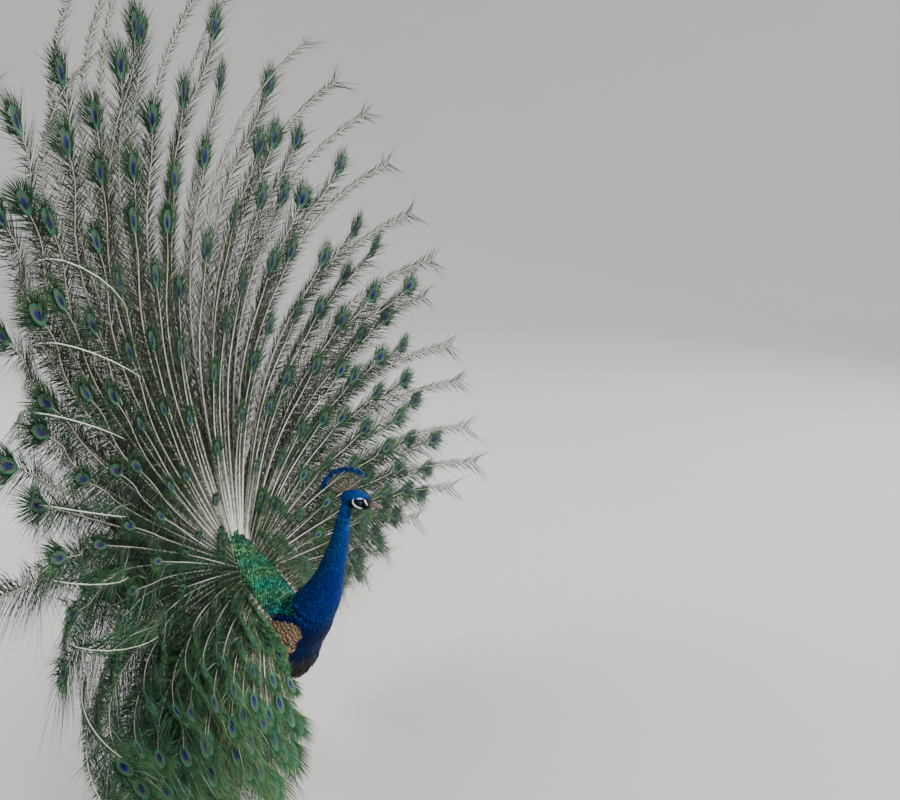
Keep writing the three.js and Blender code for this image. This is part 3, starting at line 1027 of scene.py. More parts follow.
# ------------------------------------------------------------------------------ finishes
class Paint(Wiring):
    """A material with one shader, under construction."""

    def __init__(self, name: str, **constants: float) -> None:
        """Start the material.

        Args:
            name: Name of the material.
            **constants: Values of the shader's own sockets, with _ for a space.
        """
        self.material = bpy.data.materials.new(name)
        self.material.use_nodes = True
        super().__init__(self.material.node_tree)
        self.shader = self.tree.nodes["Principled BSDF"]
        self.drive(**constants)

    def drive(self, **sockets: Any) -> None:
        """Set or link sockets of the shader, with _ for a space."""
        for name, value in sockets.items():
            self.feed(self.shader.inputs[name.replace("_", " ")], value)

    def group(self, name: str, **inputs: Any) -> Any:
        """Place a shared group and return its outputs."""
        return self.node("ShaderNodeGroup", node_tree=bpy.data.node_groups[name], **inputs).outputs

    def attribute(self, name: str, output: str = "Vector") -> Socket:
        """Read an attribute of the mesh."""
        return self.node("ShaderNodeAttribute", attribute_name=name).outputs[output]

    def hue(self) -> Socket:
        """Read the colour that the piece carries."""
        return self.attribute("hue", "Color")

    def scaled(self, value: Socket, factor: float, base: float) -> Socket:
        """Multiply a value and add a base to it."""
        return self.math("MULTIPLY_ADD", value, factor, base)

    def bump(self, height: Socket, strength: float, distance: float) -> None:
        """Raise the surface by a height."""
        bump = self.node("ShaderNodeBump", Strength=strength, Distance=distance, Height=height)
        self.drive(Normal=bump.outputs[0])


@dataclass(frozen=True)
class PlumageFinish:
    """Barbs, scales and vanes that take their hue from the place they grow."""

    name: str
    roughness: float = 0.45
    metallic: float = 0.35
    scale: float = 12.0
    hue_drift: float = 0.06
    value_drift: float = 0.9
    lines: float = 14.0
    line_depth: float = 0.25
    rim_shade: float = 0.4
    rim_start: float = 0.55
    shaft: Triple | None = None
    shaft_width: float = 0.06
    bars: float = 0.0
    bar_color: Triple = (0.02, 0.013, 0.01)

    def make(self) -> Material:
        """Build the material.

        Returns:
            The material.
        """
        paint = Paint(self.name, Metallic=self.metallic, Specular_IOR_Level=0.3)
        tone, leaf = paint.attribute("tone"), paint.attribute("leaf")
        drift = paint.group("shimmer", Color=paint.hue(), Scale=self.scale, Hue_Drift=self.hue_drift,
                            Value_Drift=self.value_drift, Tone=paint.split(tone)[0])
        line, shaft, rim = paint.group("vane", Leaf=leaf, Lines=self.lines, Shaft_Width=self.shaft_width,
                                       Rim_Start=self.rim_start)
        color = paint.mix(paint.times(line, self.line_depth), drift[0], (0.0, 0.0, 0.0))
        if self.bars:
            noise = paint.noise(paint.vector("ADD", leaf, i1=tone), 3.0, 2.0)
            phase = paint.math("MULTIPLY_ADD", paint.split(leaf)[1], self.bars, paint.times(noise, 1.6))
            color = paint.mix(paint.rise(paint.stripes(phase), 0.20, 0.32), color, self.bar_color)
        shade = paint.times(paint.rise(rim, 0.0, 1.0), self.rim_shade)
        color = paint.mix(shade, color, (0.003, 0.004, 0.004))
        if self.shaft:
            color = paint.mix(shaft, color, self.shaft)
        paint.drive(Base_Color=color, Roughness=paint.scaled(line, 0.15, self.roughness))
        paint.bump(line, 0.4, 0.4 * MM)
        return paint.material


@dataclass(frozen=True)
class EyeSpotFinish:
    """The flat spot at the end of an eyed feather."""

    name: str = "eye_spot_vane"

    def make(self) -> Material:
        """Build the material.

        Returns:
            The material.
        """
        paint = Paint(self.name, Metallic=0.5, Specular_IOR_Level=0.2)
        leaf = paint.attribute("leaf")
        spot, gloss = paint.group("eye_spot", Leaf=leaf, Rim_Color=paint.hue())
        line = paint.group("vane", Leaf=leaf, Lines=26.0, Slant=0.35, Shaft_Width=0.03)["Line"]
        drift = paint.group("shimmer", Color=spot, Scale=10.0, Hue_Drift=0.04, Value_Drift=0.5,
                            Tone=paint.split(paint.attribute("tone"))[0])
        paint.drive(Base_Color=paint.mix(paint.times(line, 0.45), drift[0], (0.0, 0.0, 0.0)),
                    Roughness=paint.scaled(gloss, -0.12, 0.46))
        paint.bump(line, 0.35, 0.4 * MM)
        return paint.material


@dataclass(frozen=True)
class QuillFinish:
    """The shafts: ivory at the root, browner on the way out."""

    name: str = "quill"

    def make(self) -> Material:
        """Build the material.

        Returns:
            The material.
        """
        paint = Paint(self.name, Specular_IOR_Level=0.55)
        patch, grain = paint.group("mottle", Scale=90.0)
        paint.drive(Base_Color=paint.mix(paint.times(patch, 0.22), paint.hue(), (0.16, 0.11, 0.06)),
                    Roughness=paint.scaled(grain, 0.2, 0.28))
        return paint.material


@dataclass(frozen=True)
class HornFinish:
    """Bill, claws and spurs, darker at the root and in the nostrils."""

    name: str
    pale: Triple = (0.175, 0.135, 0.108)
    dark: Triple = (0.045, 0.034, 0.030)

    def make(self) -> Material:
        """Build the material.

        Returns:
            The material.
        """
        paint = Paint(self.name, Specular_IOR_Level=0.5, Coat_Weight=0.12)
        patch, grain = paint.group("mottle", Scale=130.0, Stretch=(1.0, 0.25, 1.0))
        _, along, nostril = paint.split(paint.attribute("leaf"))
        root = paint.times(paint.rise(along, 0.9, 0.0), 0.55)
        shade = paint.math("MAXIMUM", root, paint.rise(nostril, 0.25, 0.8))
        shade = paint.math("ADD", shade, paint.times(patch, 0.35))
        color = paint.mix(shade, self.pale, self.dark)
        paint.drive(Base_Color=color, Roughness=paint.scaled(grain, 0.25, 0.34))
        paint.bump(grain, 0.15, 0.4 * MM)
        return paint.material


@dataclass(frozen=True)
class SkinFinish:
    """Bare or thinly covered skin that carries the plumage's hue."""

    name: str
    roughness: float = 0.6
    grain: float = 240.0
    dark: Triple = (0.004, 0.004, 0.005)

    def make(self) -> Material:
        """Build the material.

        Returns:
            The material.
        """
        paint = Paint(self.name, Specular_IOR_Level=0.35)
        patch, grain = paint.group("mottle", Scale=self.grain)
        paint.drive(Base_Color=paint.mix(paint.times(patch, 0.35), paint.hue(), self.dark),
                    Roughness=paint.scaled(grain, 0.2, self.roughness))
        paint.bump(grain, 0.4, 0.6 * MM)
        return paint.material


@dataclass(frozen=True)
class LegFinish:
    """Scaly legs and toes."""

    name: str = "leg_scales"
    pale: Triple = (0.26, 0.22, 0.18)
    dark: Triple = (0.10, 0.085, 0.07)
    seam: Triple = (0.025, 0.02, 0.017)

    def make(self) -> Material:
        """Build the material.

        Returns:
            The material.
        """
        paint = Paint(self.name, Specular_IOR_Level=0.45)
        height, seam, grain = paint.group("scutes", Leaf=paint.attribute("leaf"))
        skin = paint.mix(paint.group("mottle", Scale=45.0)["Patch"], self.pale, self.dark)
        paint.drive(Base_Color=paint.mix(paint.times(seam, 0.8), skin, self.seam),
                    Roughness=paint.scaled(grain, 0.3, 0.42))
        paint.bump(height, 0.7, 0.8 * MM)
        return paint.material


@dataclass(frozen=True)
class EyeballFinish:
    """The eye: a dark brown iris round a black pupil under a clear cover."""

    name: str = "eyeball"
    iris: Triple = (0.060, 0.020, 0.007)
    streak: Triple = (0.014, 0.006, 0.003)

    def make(self) -> Material:
        """Build the material.

        Returns:
            The material.
        """
        paint = Paint(self.name, Specular_IOR_Level=0.2, Coat_Weight=0.45, Coat_Roughness=0.02,
                      Roughness=0.15)
        leaf = paint.attribute("leaf")
        far = paint.split(leaf)[0]
        streaks = paint.noise(paint.vector("MULTIPLY", leaf, i1=(6.0, 40.0, 40.0)), 1.0, 2.0)
        color = paint.mix(paint.rise(far, 0.34, 0.42), (0.001, 0.001, 0.001),
                          paint.mix(streaks, self.iris, self.streak))
        paint.drive(Base_Color=paint.mix(paint.rise(far, 0.74, 0.82), color, (0.004, 0.003, 0.003)))
        return paint.material


@dataclass(frozen=True)
class StageFinish:
    """The pale floor."""

    name: str = "pale_floor"
    color: Triple = (0.62, 0.61, 0.59)

    def make(self) -> Material:
        """Build the material.

        Returns:
            The material.
        """
        paint = Paint(self.name, Roughness=0.85, Specular_IOR_Level=0.2)
        patch, _ = paint.group("mottle", Scale=1.2)
        paint.drive(Base_Color=paint.mix(paint.times(patch, 0.06), self.color, (0.5, 0.49, 0.48)))
        return paint.material


BLUE = {"roughness": 0.50, "metallic": 0.85, "scale": 9.0, "value_drift": 1.1, "lines": 11.0,
        "line_depth": 0.4}
FINISHES = {
    "face": PlumageFinish("plumage_face", **BLUE, rim_shade=0.3),
    "neck": PlumageFinish("plumage_neck", **BLUE, rim_shade=0.45),
    "breast": PlumageFinish("plumage_breast", **BLUE, rim_shade=0.55),
    "back": PlumageFinish("plumage_back", roughness=0.34, metallic=0.8, lines=8.0, rim_shade=0.98,
                          rim_start=0.0, value_drift=1.9, hue_drift=0.14, scale=22.0),
    "belly": PlumageFinish("plumage_belly", metallic=0.1, roughness=0.55, lines=10.0),
    "thigh": PlumageFinish("plumage_thigh", metallic=0.0, roughness=0.7, lines=10.0),
    "undertail": PlumageFinish("plumage_undertail", metallic=0.0, roughness=0.75, lines=12.0),
    "barb": PlumageFinish("train_barb", metallic=0.35, roughness=0.45, lines=0.0, line_depth=0.0,
                          rim_shade=0.0, value_drift=1.1, hue_drift=0.10, scale=7.0),
    "covert": PlumageFinish("wing_covert", metallic=0.0, roughness=0.6, lines=18.0, bars=3.2, rim_shade=0.25),
    "primary": PlumageFinish("wing_primary", metallic=0.0, roughness=0.6, lines=60.0, line_depth=0.5,
                             shaft=(0.20, 0.10, 0.05), rim_shade=0.75, rim_start=0.6, value_drift=1.3),
    "rectrix": PlumageFinish("tail_vane", metallic=0.0, roughness=0.6, lines=70.0, shaft=(0.5, 0.42, 0.3),
                             rim_shade=0.2, bars=5.0, bar_color=(0.035, 0.024, 0.017)),
    "crest": PlumageFinish("crest_tip", metallic=0.5, roughness=0.35, lines=16.0, rim_shade=0.0,
                           shaft=(0.01, 0.05, 0.25), shaft_width=0.09),
    "eye_spot": EyeSpotFinish(),
    "quill": QuillFinish(),
    "skin": SkinFinish("skin_under_plumage"),
    "bare_face": SkinFinish("bare_face", roughness=0.5, grain=500.0),
    "bare_white": SkinFinish("bare_white", roughness=0.55, grain=380.0, dark=(0.45, 0.46, 0.46)),
    "bill": HornFinish("bill_horn"),
    "claw": HornFinish("claw_horn", (0.10, 0.08, 0.065), (0.03, 0.025, 0.02)),
    "leg": LegFinish(),
    "eyeball": EyeballFinish(),
    "floor": StageFinish(),
}

SMALL_SCALE = ((0.38, 0.22), (0.5, 0.6), (0.3, 0.9))
ROUND_SCALE = ((0.34, 0.12), (0.48, 0.36), (0.5, 0.62), (0.34, 0.88))


def eye_outline(t: float) -> float:
    """Give the half width of an eye at a share of its length."""
    return 0.5 * (4 * t * (1 - t)) ** 0.5 * (0.94 + 0.12 * t)


def vane_outline(t: float) -> float:
    """Give the half width of a flat feather at a share of its length."""
    return 0.5 * min(1.0, (6 * t) ** 0.6, (5 * (1 - t)) ** 0.5)


def spatula_outline(t: float) -> float:
    """Give the half width of a crest tip at a share of its length."""
    return 0.62 * t ** 0.75 * (1 - t ** 6) ** 0.5


class Tools:
    """The node trees, templates and finishes that the parts share."""

    def __init__(self) -> None:
        """Build each tree, template and finish once."""
        self.plume, self.quill, self.scatter = plume_tree(), quill_tree(), scatter_tree()
        self.templates = {
            "barb": barb_template("barb", (0.0, 0.35, 0.72), (1.0, 0.95, 0.6)),
            "barb_plain": barb_template("barb_plain", (0.0, 0.46), (1.0, 0.86)),
            "scale_small": scale_template("scale_small", SMALL_SCALE, 0.55),
            "scale_round": scale_template("scale_round", ROUND_SCALE, 0.62, 2),
            "eye": plate_template("eye", eye_outline, 10, 1.2),
            "vane": plate_template("vane", vane_outline, 12, 1.6),
            "spatula": plate_template("spatula", spatula_outline, 10, 0.8),
        }
        for build in (shimmer_group, vane_group, eye_spot_group, scute_group, mottle_group):
            build()
        self.finishes = {name: finish.make() for name, finish in FINISHES.items()}

    def plumes(self, cloud: Cloud, name: str, kind: str, finish: str, patch: float = 0.003) -> Obj:
        """Turn a cloud into a mesh piece.

        Args:
            cloud: The small feathers.
            name: Name of the piece.
            kind: Name of the template.
            finish: Name of the finish.
            patch: Width of a feather's patch on the bake map.

        Returns:
            The piece.
        """
        return run_tree(cloud.points(f"{name}_roots"), self.plume, name, Template=self.templates[kind],
                        Material=self.finishes[finish], Patch=patch, Curl_Power=2.0)

    def quills(self, lines: Lines, name: str, sides: int = 5) -> Obj:
        """Turn lines into round tapering quills.

        Args:
            lines: The lines.
            name: Name of the piece.
            sides: Sides of a quill.

        Returns:
            The piece.
        """
        return run_tree(lines.wires(f"{name}_lines"), self.quill, name, Sides=sides,
                        Material=self.finishes["quill"], Patch=0.003)

    def clear(self) -> None:
        """Remove the templates once every piece is made."""
        for made in self.templates.values():
            bpy.data.objects.remove(made)


# ------------------------------------------------------------------------------ the bird's plan
def on_midline(rows: Sequence[Sequence[float]]) -> Array:
    """Turn rows of back, height, half width and half depth in millimetres into rows in space."""
    return np.insert(np.array(rows, float) * MM, 0, 0.0, axis=1)


def on_side(rows: Sequence[Sequence[float]], side: Side) -> Array:
    """Turn rows in millimetres for the left side into rows in metres for a side."""
    return np.array(rows, float) * MM * (side.value, 1, 1, 1, 1)


HEAD_ROWS = on_midline([
    (-206, 717, 4, 5), (-212, 717, 12, 14), (-224, 717.5, 17.5, 20.5), (-240, 717, 19.5, 24),
    (-255, 715.5, 19, 23), (-268, 712.5, 16, 19.5), (-278, 710.5, 12.5, 14.5), (-286, 709, 9.5, 10),
])
NECK_ROWS = on_midline([
    (-225, 716, 13, 13), (-219, 688, 17, 17), (-209, 656, 18.5, 18.5), (-202, 620, 22, 22),
    (-194, 588, 26, 25.5), (-180, 541, 33, 32), (-166, 502, 40, 38), (-148, 460, 51, 49),
    (-128, 426, 62, 56),
])
TRUNK_ROWS = on_midline([
    (-148, 460, 44, 42), (-120, 413, 66, 62), (-85, 370, 83, 78), (-30, 328, 96, 116),
    (40, 322, 98, 116), (104, 340, 84, 92), (154, 368, 54, 60), (188, 390, 16, 18),
])
UNDERTAIL_ROWS = on_midline([
    (128, 402, 50, 40), (176, 428, 60, 46), (214, 476, 50, 33), (236, 530, 32, 18), (244, 566, 8, 5),
])
BACK_TOP = np.array([0.0, -62.0, 429.0]) * MM
BACK_RISE = math.radians(45)
UP_SLOPE = np.array([0.0, math.cos(BACK_RISE), math.sin(BACK_RISE)])
OUT_OF_BACK = np.array([0.0, -math.sin(BACK_RISE), math.cos(BACK_RISE)])
DOWN_NECK = np.array([0.0, 0.55, -0.80])
# How far up the back's slope each oval lies, its half width and its half depth.
BACK_PROFILE = ((-45, 30, 26), (-15, 66, 52), (30, 80, 61), (95, 84, 62), (160, 77, 55), (212, 60, 42),
                (245, 34, 23), (258, 9, 7))
BACK_ROWS = np.array([(*(BACK_TOP + UP_SLOPE * up * MM - OUT_OF_BACK * deep * MM), wide * MM, deep * MM)
                      for up, wide, deep in BACK_PROFILE])
THIGH_ROWS = ((52, 6, 322, 34, 44), (62, 22, 268, 36, 45), (70, 48, 218, 25, 31), (74, 76, 176, 14, 17),
              (75, 92, 152, 9.5, 11))
SHANK_ROWS = ((75, 97, 153, 8.5, 9.5), (75, 94, 138, 7.5, 8.5), (75.5, 76, 92, 5.6, 6.4),
              (76, 58, 44, 5.6, 6.6), (76, 50, 20, 7, 7.5))
WING_ROWS = ((60, -118, 380, 6, 10), (84, -100, 378, 12, 36), (98, -45, 362, 14, 54), (103, 30, 345, 13, 56),
             (101, 110, 325, 9, 46), (99, 180, 305, 4, 28), (98, 214, 294, 1.6, 9))
PRIMARY_ROWS = ((107, 52, 296, 1.6, 30), (122, 120, 258, 1.6, 44), (139, 200, 205, 1.4, 42),
                (152, 268, 150, 1, 26), (157, 300, 122, 0.8, 9))


class Region(Named):
    """Parts of the plumage that differ in the size of their feathers."""

    FACE = 1
    NECK = 2
    BREAST = 3
    BACK = 4
    BELLY = 5
    THIGH = 6
    UNDERTAIL = 7


class Guide:
    """A line inside the flesh along which the feathers of a region lie."""

    def __init__(self, region: Region, rows: Array) -> None:
        """Make the guide.

        Args:
            region: The region that it leads.
            rows: Rows of ovals, in the order that the feathers lie.
        """
        fine = smooth_rows(rows, 40)
        self.region = region
        self.place = fine[:, :3]
        self.heading = headings(self.place)
        self.reach = fine[:, 3:5].mean(axis=1) + 6 * MM


GUIDES = (
    Guide(Region.FACE, HEAD_ROWS[::-1]), Guide(Region.NECK, NECK_ROWS), Guide(Region.BELLY, TRUNK_ROWS),
    Guide(Region.BACK, BACK_ROWS), *(Guide(Region.THIGH, on_side(THIGH_ROWS, side)) for side in Side),
    Guide(Region.UNDERTAIL, UNDERTAIL_ROWS),
)


@dataclass(frozen=True)
class Markings:
    """Where each hue of the plumage lies, by place on the body."""

    head_floor: Triple = (0.0, -0.212, 0.676)
    head_up: Triple = (0.0, -0.28, 0.96)
    nape_end: Triple = (0.0, -0.088, 0.452)
    nape_out: Triple = (0.0, -0.80, 0.60)
    azure: Triple = (0.001, 0.100, 0.50)
    cobalt: Triple = (0.001, 0.055, 0.38)
    navy: Triple = (0.002, 0.018, 0.12)
    teal: Triple = (0.001, 0.13, 0.24)
    crown: Triple = (0.001, 0.130, 0.56)
    cheek: Triple = (0.005, 0.035, 0.10)
    black_green: Triple = (0.003, 0.014, 0.014)
    turquoise: Triple = (0.003, 0.210, 0.230)
    emerald: Triple = (0.008, 0.270, 0.165)
    gold_green: Triple = (0.200, 0.360, 0.070)
    belly: Triple = (0.016, 0.017, 0.012)
    buff: Triple = (0.24, 0.16, 0.09)
    dusk: Triple = (0.085, 0.065, 0.048)

    def flow(self, places: Array) -> tuple[Array, Array]:
        """Find which way feathers lie, and how much each guide has a say.

        Args:
            places: Places on the skin.

        Returns:
            The direction at each place, and the share of each guide.
        """
        total, shares = np.zeros_like(places), []
        for guide in GUIDES:
            gap = np.linalg.norm(places[:, None] - guide.place[None], axis=2) / guide.reach[None]
            weight = np.exp(-2.2 * gap ** 2)
            total += weight @ guide.heading
            shares.append(weight.max(axis=1))
        return unit(total), np.stack(shares, axis=1)

    def region(self, places: Array, shares: Array) -> Array:
        """Name the region of each place by its number.

        Args:
            places: Places on the skin.
            shares: The share of each guide at each place.

        Returns:
            The number of a region for each place.
        """
        face, neck, back = Region.FACE.value, Region.NECK.value, Region.BACK.value
        best = np.array([guide.region.value for guide in GUIDES])[shares.argmax(axis=1)]
        on_head = (places - self.head_floor) @ np.array(self.head_up) > 0
        best[on_head] = face
        best[~on_head & (best == face)] = neck
        best[(self.blue(places) > 0.5) & (best == Region.BELLY.value)] = Region.BREAST.value
        nape = (places - self.nape_end) @ np.array(self.nape_out) > 0
        best[nape & (best == back)] = neck
        best[~nape & (best == neck)] = back
        high = places[:, 2] > 0.405 + 0.25 * np.abs(places[:, 0])
        saddle = ~nape & high & (np.abs(places[:, 1] + 0.065) < 0.065)
        best[saddle & (best != neck)] = back
        return best

    def blue(self, places: Array) -> Array:
        """Work out where the plumage is blue: all of the neck and breast, fading at the belly.

        Args:
            places: Places on the skin.

        Returns:
            The share of blue at each place.
        """
        front, height = -places[:, 1], places[:, 2]
        return np.clip(ease(front, 0.040, 0.075) * ease(height, 0.285, 0.33)
                       + ease(height, 0.46, 0.48) * ease(front, 0.08, 0.12), 0, 1)

    def hue(self, places: Array, regions: Array) -> Array:
        """Give the colour of the plumage at each place.

        Args:
            places: Places on the skin.
            regions: Number of the region of each place.

        Returns:
            A colour for each place.
        """
        height, back = places[:, 2], places[:, 1]
        neck = blend(self.cobalt, self.azure, ease(height, 0.50, 0.66))
        neck = blend(self.navy, neck, ease(height, 0.36, 0.47))
        nape = ease(back + (height - 0.46) * 0.34, -0.175, -0.135) * ease(height, 0.47, 0.55)
        neck = blend(neck, self.teal, 0.45 * nape)
        neck = blend(neck, self.black_green, 0.8 * ease(height, 0.655, 0.688) * ease(-back, 0.216, 0.238))
        up = (places - BACK_TOP) @ UP_SLOPE
        gold = 0.12 + 0.22 * ease(up, 0.02, 0.16) + 0.16 * np.sin(up * 90 + places[:, 0] * 40)
        green = blend(blend(self.emerald, self.gold_green, gold), self.turquoise, ease(up, 0.03, -0.03))
        belly = blend(blend(self.belly, self.dusk, ease(back, 0.02, 0.14)), neck, self.blue(places))
        out = np.zeros_like(places)
        for region, colors in {
            Region.FACE: self.face(places), Region.NECK: neck, Region.BREAST: belly, Region.BACK: green,
            Region.BELLY: belly, Region.THIGH: blend(self.buff, self.dusk, ease(height, 0.20, 0.30)),
            Region.UNDERTAIL: blend(self.dusk, self.buff, ease(height, 0.42, 0.54) * 0.5),
        }.items():
            chosen = regions == region.value
            out[chosen] = colors[chosen]
        return out

    def face(self, places: Array) -> Array:
        """Give the head's colours: a blue crown, a black mask through the eye and a dark throat.

        Args:
            places: Places on the skin.

        Returns:
            A colour for each place.
        """
        behind, above = places[:, 1] - EYE_PLACE[1], places[:, 2] - EYE_PLACE[2]
        crown = blend(self.crown, self.azure, ease(behind, 0.0, 0.03))
        mask = ease(above - 0.006 + 0.10 * behind, 0.0035, -0.0005) * ease(behind, 0.036, 0.020)
        cheek = ease(above, -0.010, -0.020) * ease(behind, 0.006, 0.024) * ease(behind, 0.042, 0.028)
        return blend(blend(crown, self.black_green, mask), self.cheek, cheek)


# ------------------------------------------------------------------------------ the skin and its coat
@dataclass
class Flesh:
    """The bird's skin: one closed surface under all the feathers."""

    tools: Tools
    markings: Markings
    voxel: float = 3.2 * MM
    smoothing: int = 6

    def shapes(self) -> list[Shape]:
        """Loft the parts of the flesh, each thinner than its solid by the depth of its feathers.

        Returns:
            The parts.
        """
        return [
            oval_tube(HEAD_ROWS, 40, 36, 1.0 * MM), oval_tube(NECK_ROWS, 60, 40, 2.2 * MM),
            oval_tube(TRUNK_ROWS, 48, 48, 5.0 * MM), oval_tube(BACK_ROWS, 40, 40, 4.0 * MM),
            oval_tube(UNDERTAIL_ROWS, 24, 32, 5.0 * MM),
            *(oval_tube(on_side(THIGH_ROWS, side), 30, 28, 3.0 * MM) for side in Side),
        ]

    def build(self) -> Obj:
        """Join and smooth the flesh, then mark it.

        Returns:
            The skin.
        """
        skin = new_object("skin", *merged(self.shapes()))
        remesh = skin.modifiers.new("remesh", "REMESH")
        remesh.mode = "VOXEL"
        remesh.voxel_size = self.voxel
        smooth = skin.modifiers.new("smooth", "SMOOTH")
        smooth.factor = 0.6
        smooth.iterations = self.smoothing
        skin = settled(skin, "skin")
        places = take(skin, "position") - HOME
        flow, shares = self.markings.flow(places)
        region = self.markings.region(places, shares)
        put(skin, "flow", flow)
        put(skin, "region", region)
        # The skin takes the plumage's hue at 0.6 of its brightness: painted shade for the gaps between the feathers.
        put(skin, "hue", self.markings.hue(places, region) * 0.6)
        skin.data.materials.append(self.tools.finishes["skin"])
        return skin


@dataclass(frozen=True)
class Tract:
    """How the feathers of one region are set, in millimetres, degrees and shares."""

    region: Region
    spacing: float
    width: float
    length: float
    lift: float
    thick: float
    bury: float = 0.6
    spread: float = 0.18


@dataclass
class ContourCoat:
    """The small feathers that lie over the skin."""

    tools: Tools
    markings: Markings
    skin: Obj
    tracts: tuple[Tract, ...] = (
        Tract(Region.FACE, 1.55, 2.3, 4.6, 9, 0.22, 0.05),
        Tract(Region.NECK, 2.5, 3.6, 11.5, 6.5, 0.26, 0.10),
        Tract(Region.BREAST, 4.1, 6.4, 17.0, 7, 0.36, 0.15),
        Tract(Region.BELLY, 6.5, 10.0, 24.0, 9, 0.8, spread=0.3),
        Tract(Region.THIGH, 5.0, 7.0, 18.0, 9, 0.8, spread=0.3),
        Tract(Region.UNDERTAIL, 6.5, 10.0, 34.0, 16, 1.1, spread=0.4),
    )
    back_pitch: float = 8.8 * MM
    seed: int = 11

    def build(self, bare: Callable[[Array], Array]) -> list[Obj]:
        """Cover the skin.

        Args:
            bare: Tells which places on the face stay bare.

        Returns:
            One coat piece for each region.
        """
        made = []
        rng = np.random.default_rng(self.seed)
        for tract in self.tracts:
            places, outward, flow = self.roots(tract.region, tract.spacing * MM)
            if tract.region is Region.FACE:
                clear = ~bare(places)
                places, outward, flow = places[clear], outward[clear], flow[clear]
            cloud = self.cover(places, outward, flow, tract, rng)
            made.append(self.tools.plumes(cloud, f"coat_{tract.region}", "scale_small", str(tract.region)))
        made.append(self.tools.plumes(self.scaled_back(rng), "coat_back", "scale_round", "back"))
        return made

    def roots(self, region: Region, spacing: float) -> tuple[Array, Array, Array]:
        """Scatter feather roots evenly over one region.

        Args:
            region: The region.
            spacing: Least distance between roots.

        Returns:
            The places, the skin's direction and the lie of the feathers at each.
        """
        made = run_tree(linked("roots", self.skin.data.copy()), self.tools.scatter, "roots", Spacing=spacing,
                        Seed=self.seed, Region=float(region.value))
        found = take(made, "position") - HOME, unit(take(made, "outward")), take(made, "flow")
        bpy.data.objects.remove(made)
        return found

    def cover(self, places: Array, outward: Array, flow: Array, tract: Tract, rng: Rng) -> Cloud:
        """Set one feather at each root.

        Args:
            places: The roots.
            outward: The skin's direction at each root.
            flow: The lie of the feathers.
            tract: How the region's feathers are set.
            rng: Source of chance.

        Returns:
            The feathers.
        """
        count = len(places)
        lie = square_to(outward, flow)
        lie = unit(lie + np.cross(outward, lie) * rng.normal(0, 0.10 + tract.spread * 0.3, count)[:, None])
        lift = np.radians(tract.lift * rng.uniform(0.7, 1.3, count))[:, None]
        raised, face = swing(lie, outward, lift)
        scale = rng.uniform(1 - tract.spread, 1 + tract.spread, count)
        size = columns(tract.width * scale, tract.length * scale, tract.thick) * MM
        roots, bend = places - outward * tract.bury * MM, -outward * tract.length * 0.05 * MM
        hue = self.markings.hue(places, np.full(count, tract.region.value))
        tone = columns(rng.random(count), rng.random(count), 0)
        return Cloud(roots, raised, face, size, bend, self.seat(places), hue, tone)

    def seat(self, places: Array) -> Array:
        """Lay the body's surface out flat: around the body across the bake map, along the bird up it.

        Args:
            places: Places on the skin.

        Returns:
            A place on the bake map for each.
        """
        turn = np.arctan2(places[:, 0], places[:, 2] - 0.30 - 0.35 * ease(-places[:, 1], 0.10, 0.22))
        along = places[:, 1] * 0.9 + places[:, 2] * 0.75
        along = np.clip(along + 0.1, 0, 0.9) / 0.9
        return columns(0.02 + 0.95 * (turn / (2 * np.pi) + 0.5), 0.02 + 0.95 * along, 0)

    def back_rows(self) -> Array:
        """Set out the back's scales in crossing diagonal rows, and fill what the rows leave bare.

        Returns:
            Rows of a place, the skin's direction and a growth.
        """
        tree = BVHTree.FromObject(self.skin, bpy.context.evaluated_depsgraph_get())
        fine = smooth_rows(BACK_ROWS, 60)
        up = (fine[:, :3] - BACK_TOP) @ UP_SLOPE
        rows = []
        for number, reach in enumerate(np.arange(0.02, up[-1] + 0.012, self.back_pitch * 0.62)):
            *centre, radius = (np.interp(reach, up, fine[:, k]) for k in range(4))
            grow = 1 + 0.55 * float(ease(reach, 0.10, 0.25))
            step = self.back_pitch * grow / max(radius, 0.012)
            half = int(math.radians(112) / step)
            for j in range(-half, half + 1):
                turn = (j + 0.5 * (number % 2)) * step
                ray = OUT_OF_BACK * math.cos(turn) + X_AXIS * math.sin(turn)
                hit, normal, _, _ = tree.ray_cast(Vector(np.array(centre) + HOME), Vector(ray))
                if hit is not None:
                    rows.append((*(np.array(hit) - HOME), *normal, grow))
        table = np.array(rows)
        fill, normals, _ = self.roots(Region.BACK, self.back_pitch * 0.72)
        gap = np.array([np.linalg.norm(table[:, :3] - place, axis=1).min() for place in fill])
        bare = gap > self.back_pitch * np.where(fill[:, 1] < -0.028, 0.35, 0.8)
        return np.vstack([table, np.column_stack([fill[bare], normals[bare], np.ones(bare.sum())])])

    def scaled_back(self, rng: Rng) -> Cloud:
        """Lay the back's round scales.

        Args:
            rng: Source of chance.

        Returns:
            The scales.
        """
        table = self.back_rows()
        flow, shares = self.markings.flow(table[:, :3])
        kept = self.markings.region(table[:, :3], shares) == Region.BACK.value
        places, outward, grow, flow = table[kept, :3], table[kept, 3:6], table[kept, 6], flow[kept]
        count = len(places)
        facing = ease(-places[:, 1], 0.028, 0.045)[:, None]
        lie = square_to(outward, (UP_SLOPE + flow * 0.25) * (1 - facing) + DOWN_NECK * facing)
        lift = np.radians(17 + 6 * ease(grow, 1.1, 1.5) + rng.normal(0, 3.5, count))[:, None]
        raised, face = swing(lie, outward, lift)
        face, _ = swing(face, np.cross(raised, face), np.radians(rng.normal(0, 8, count))[:, None])
        tone = columns(rng.random(count), rng.random(count), 0)
        hue = self.markings.hue(places, np.full(count, Region.BACK.value))
        hue = hue * rng.uniform(0.45, 1.55, (count, 1))
        return Cloud(places - outward * 0.8 * MM, raised, face, columns(grow * 9.2, grow * 12.5, 1.0) * MM,
                     -outward * 1.2 * MM, self.seat(places), hue, tone)


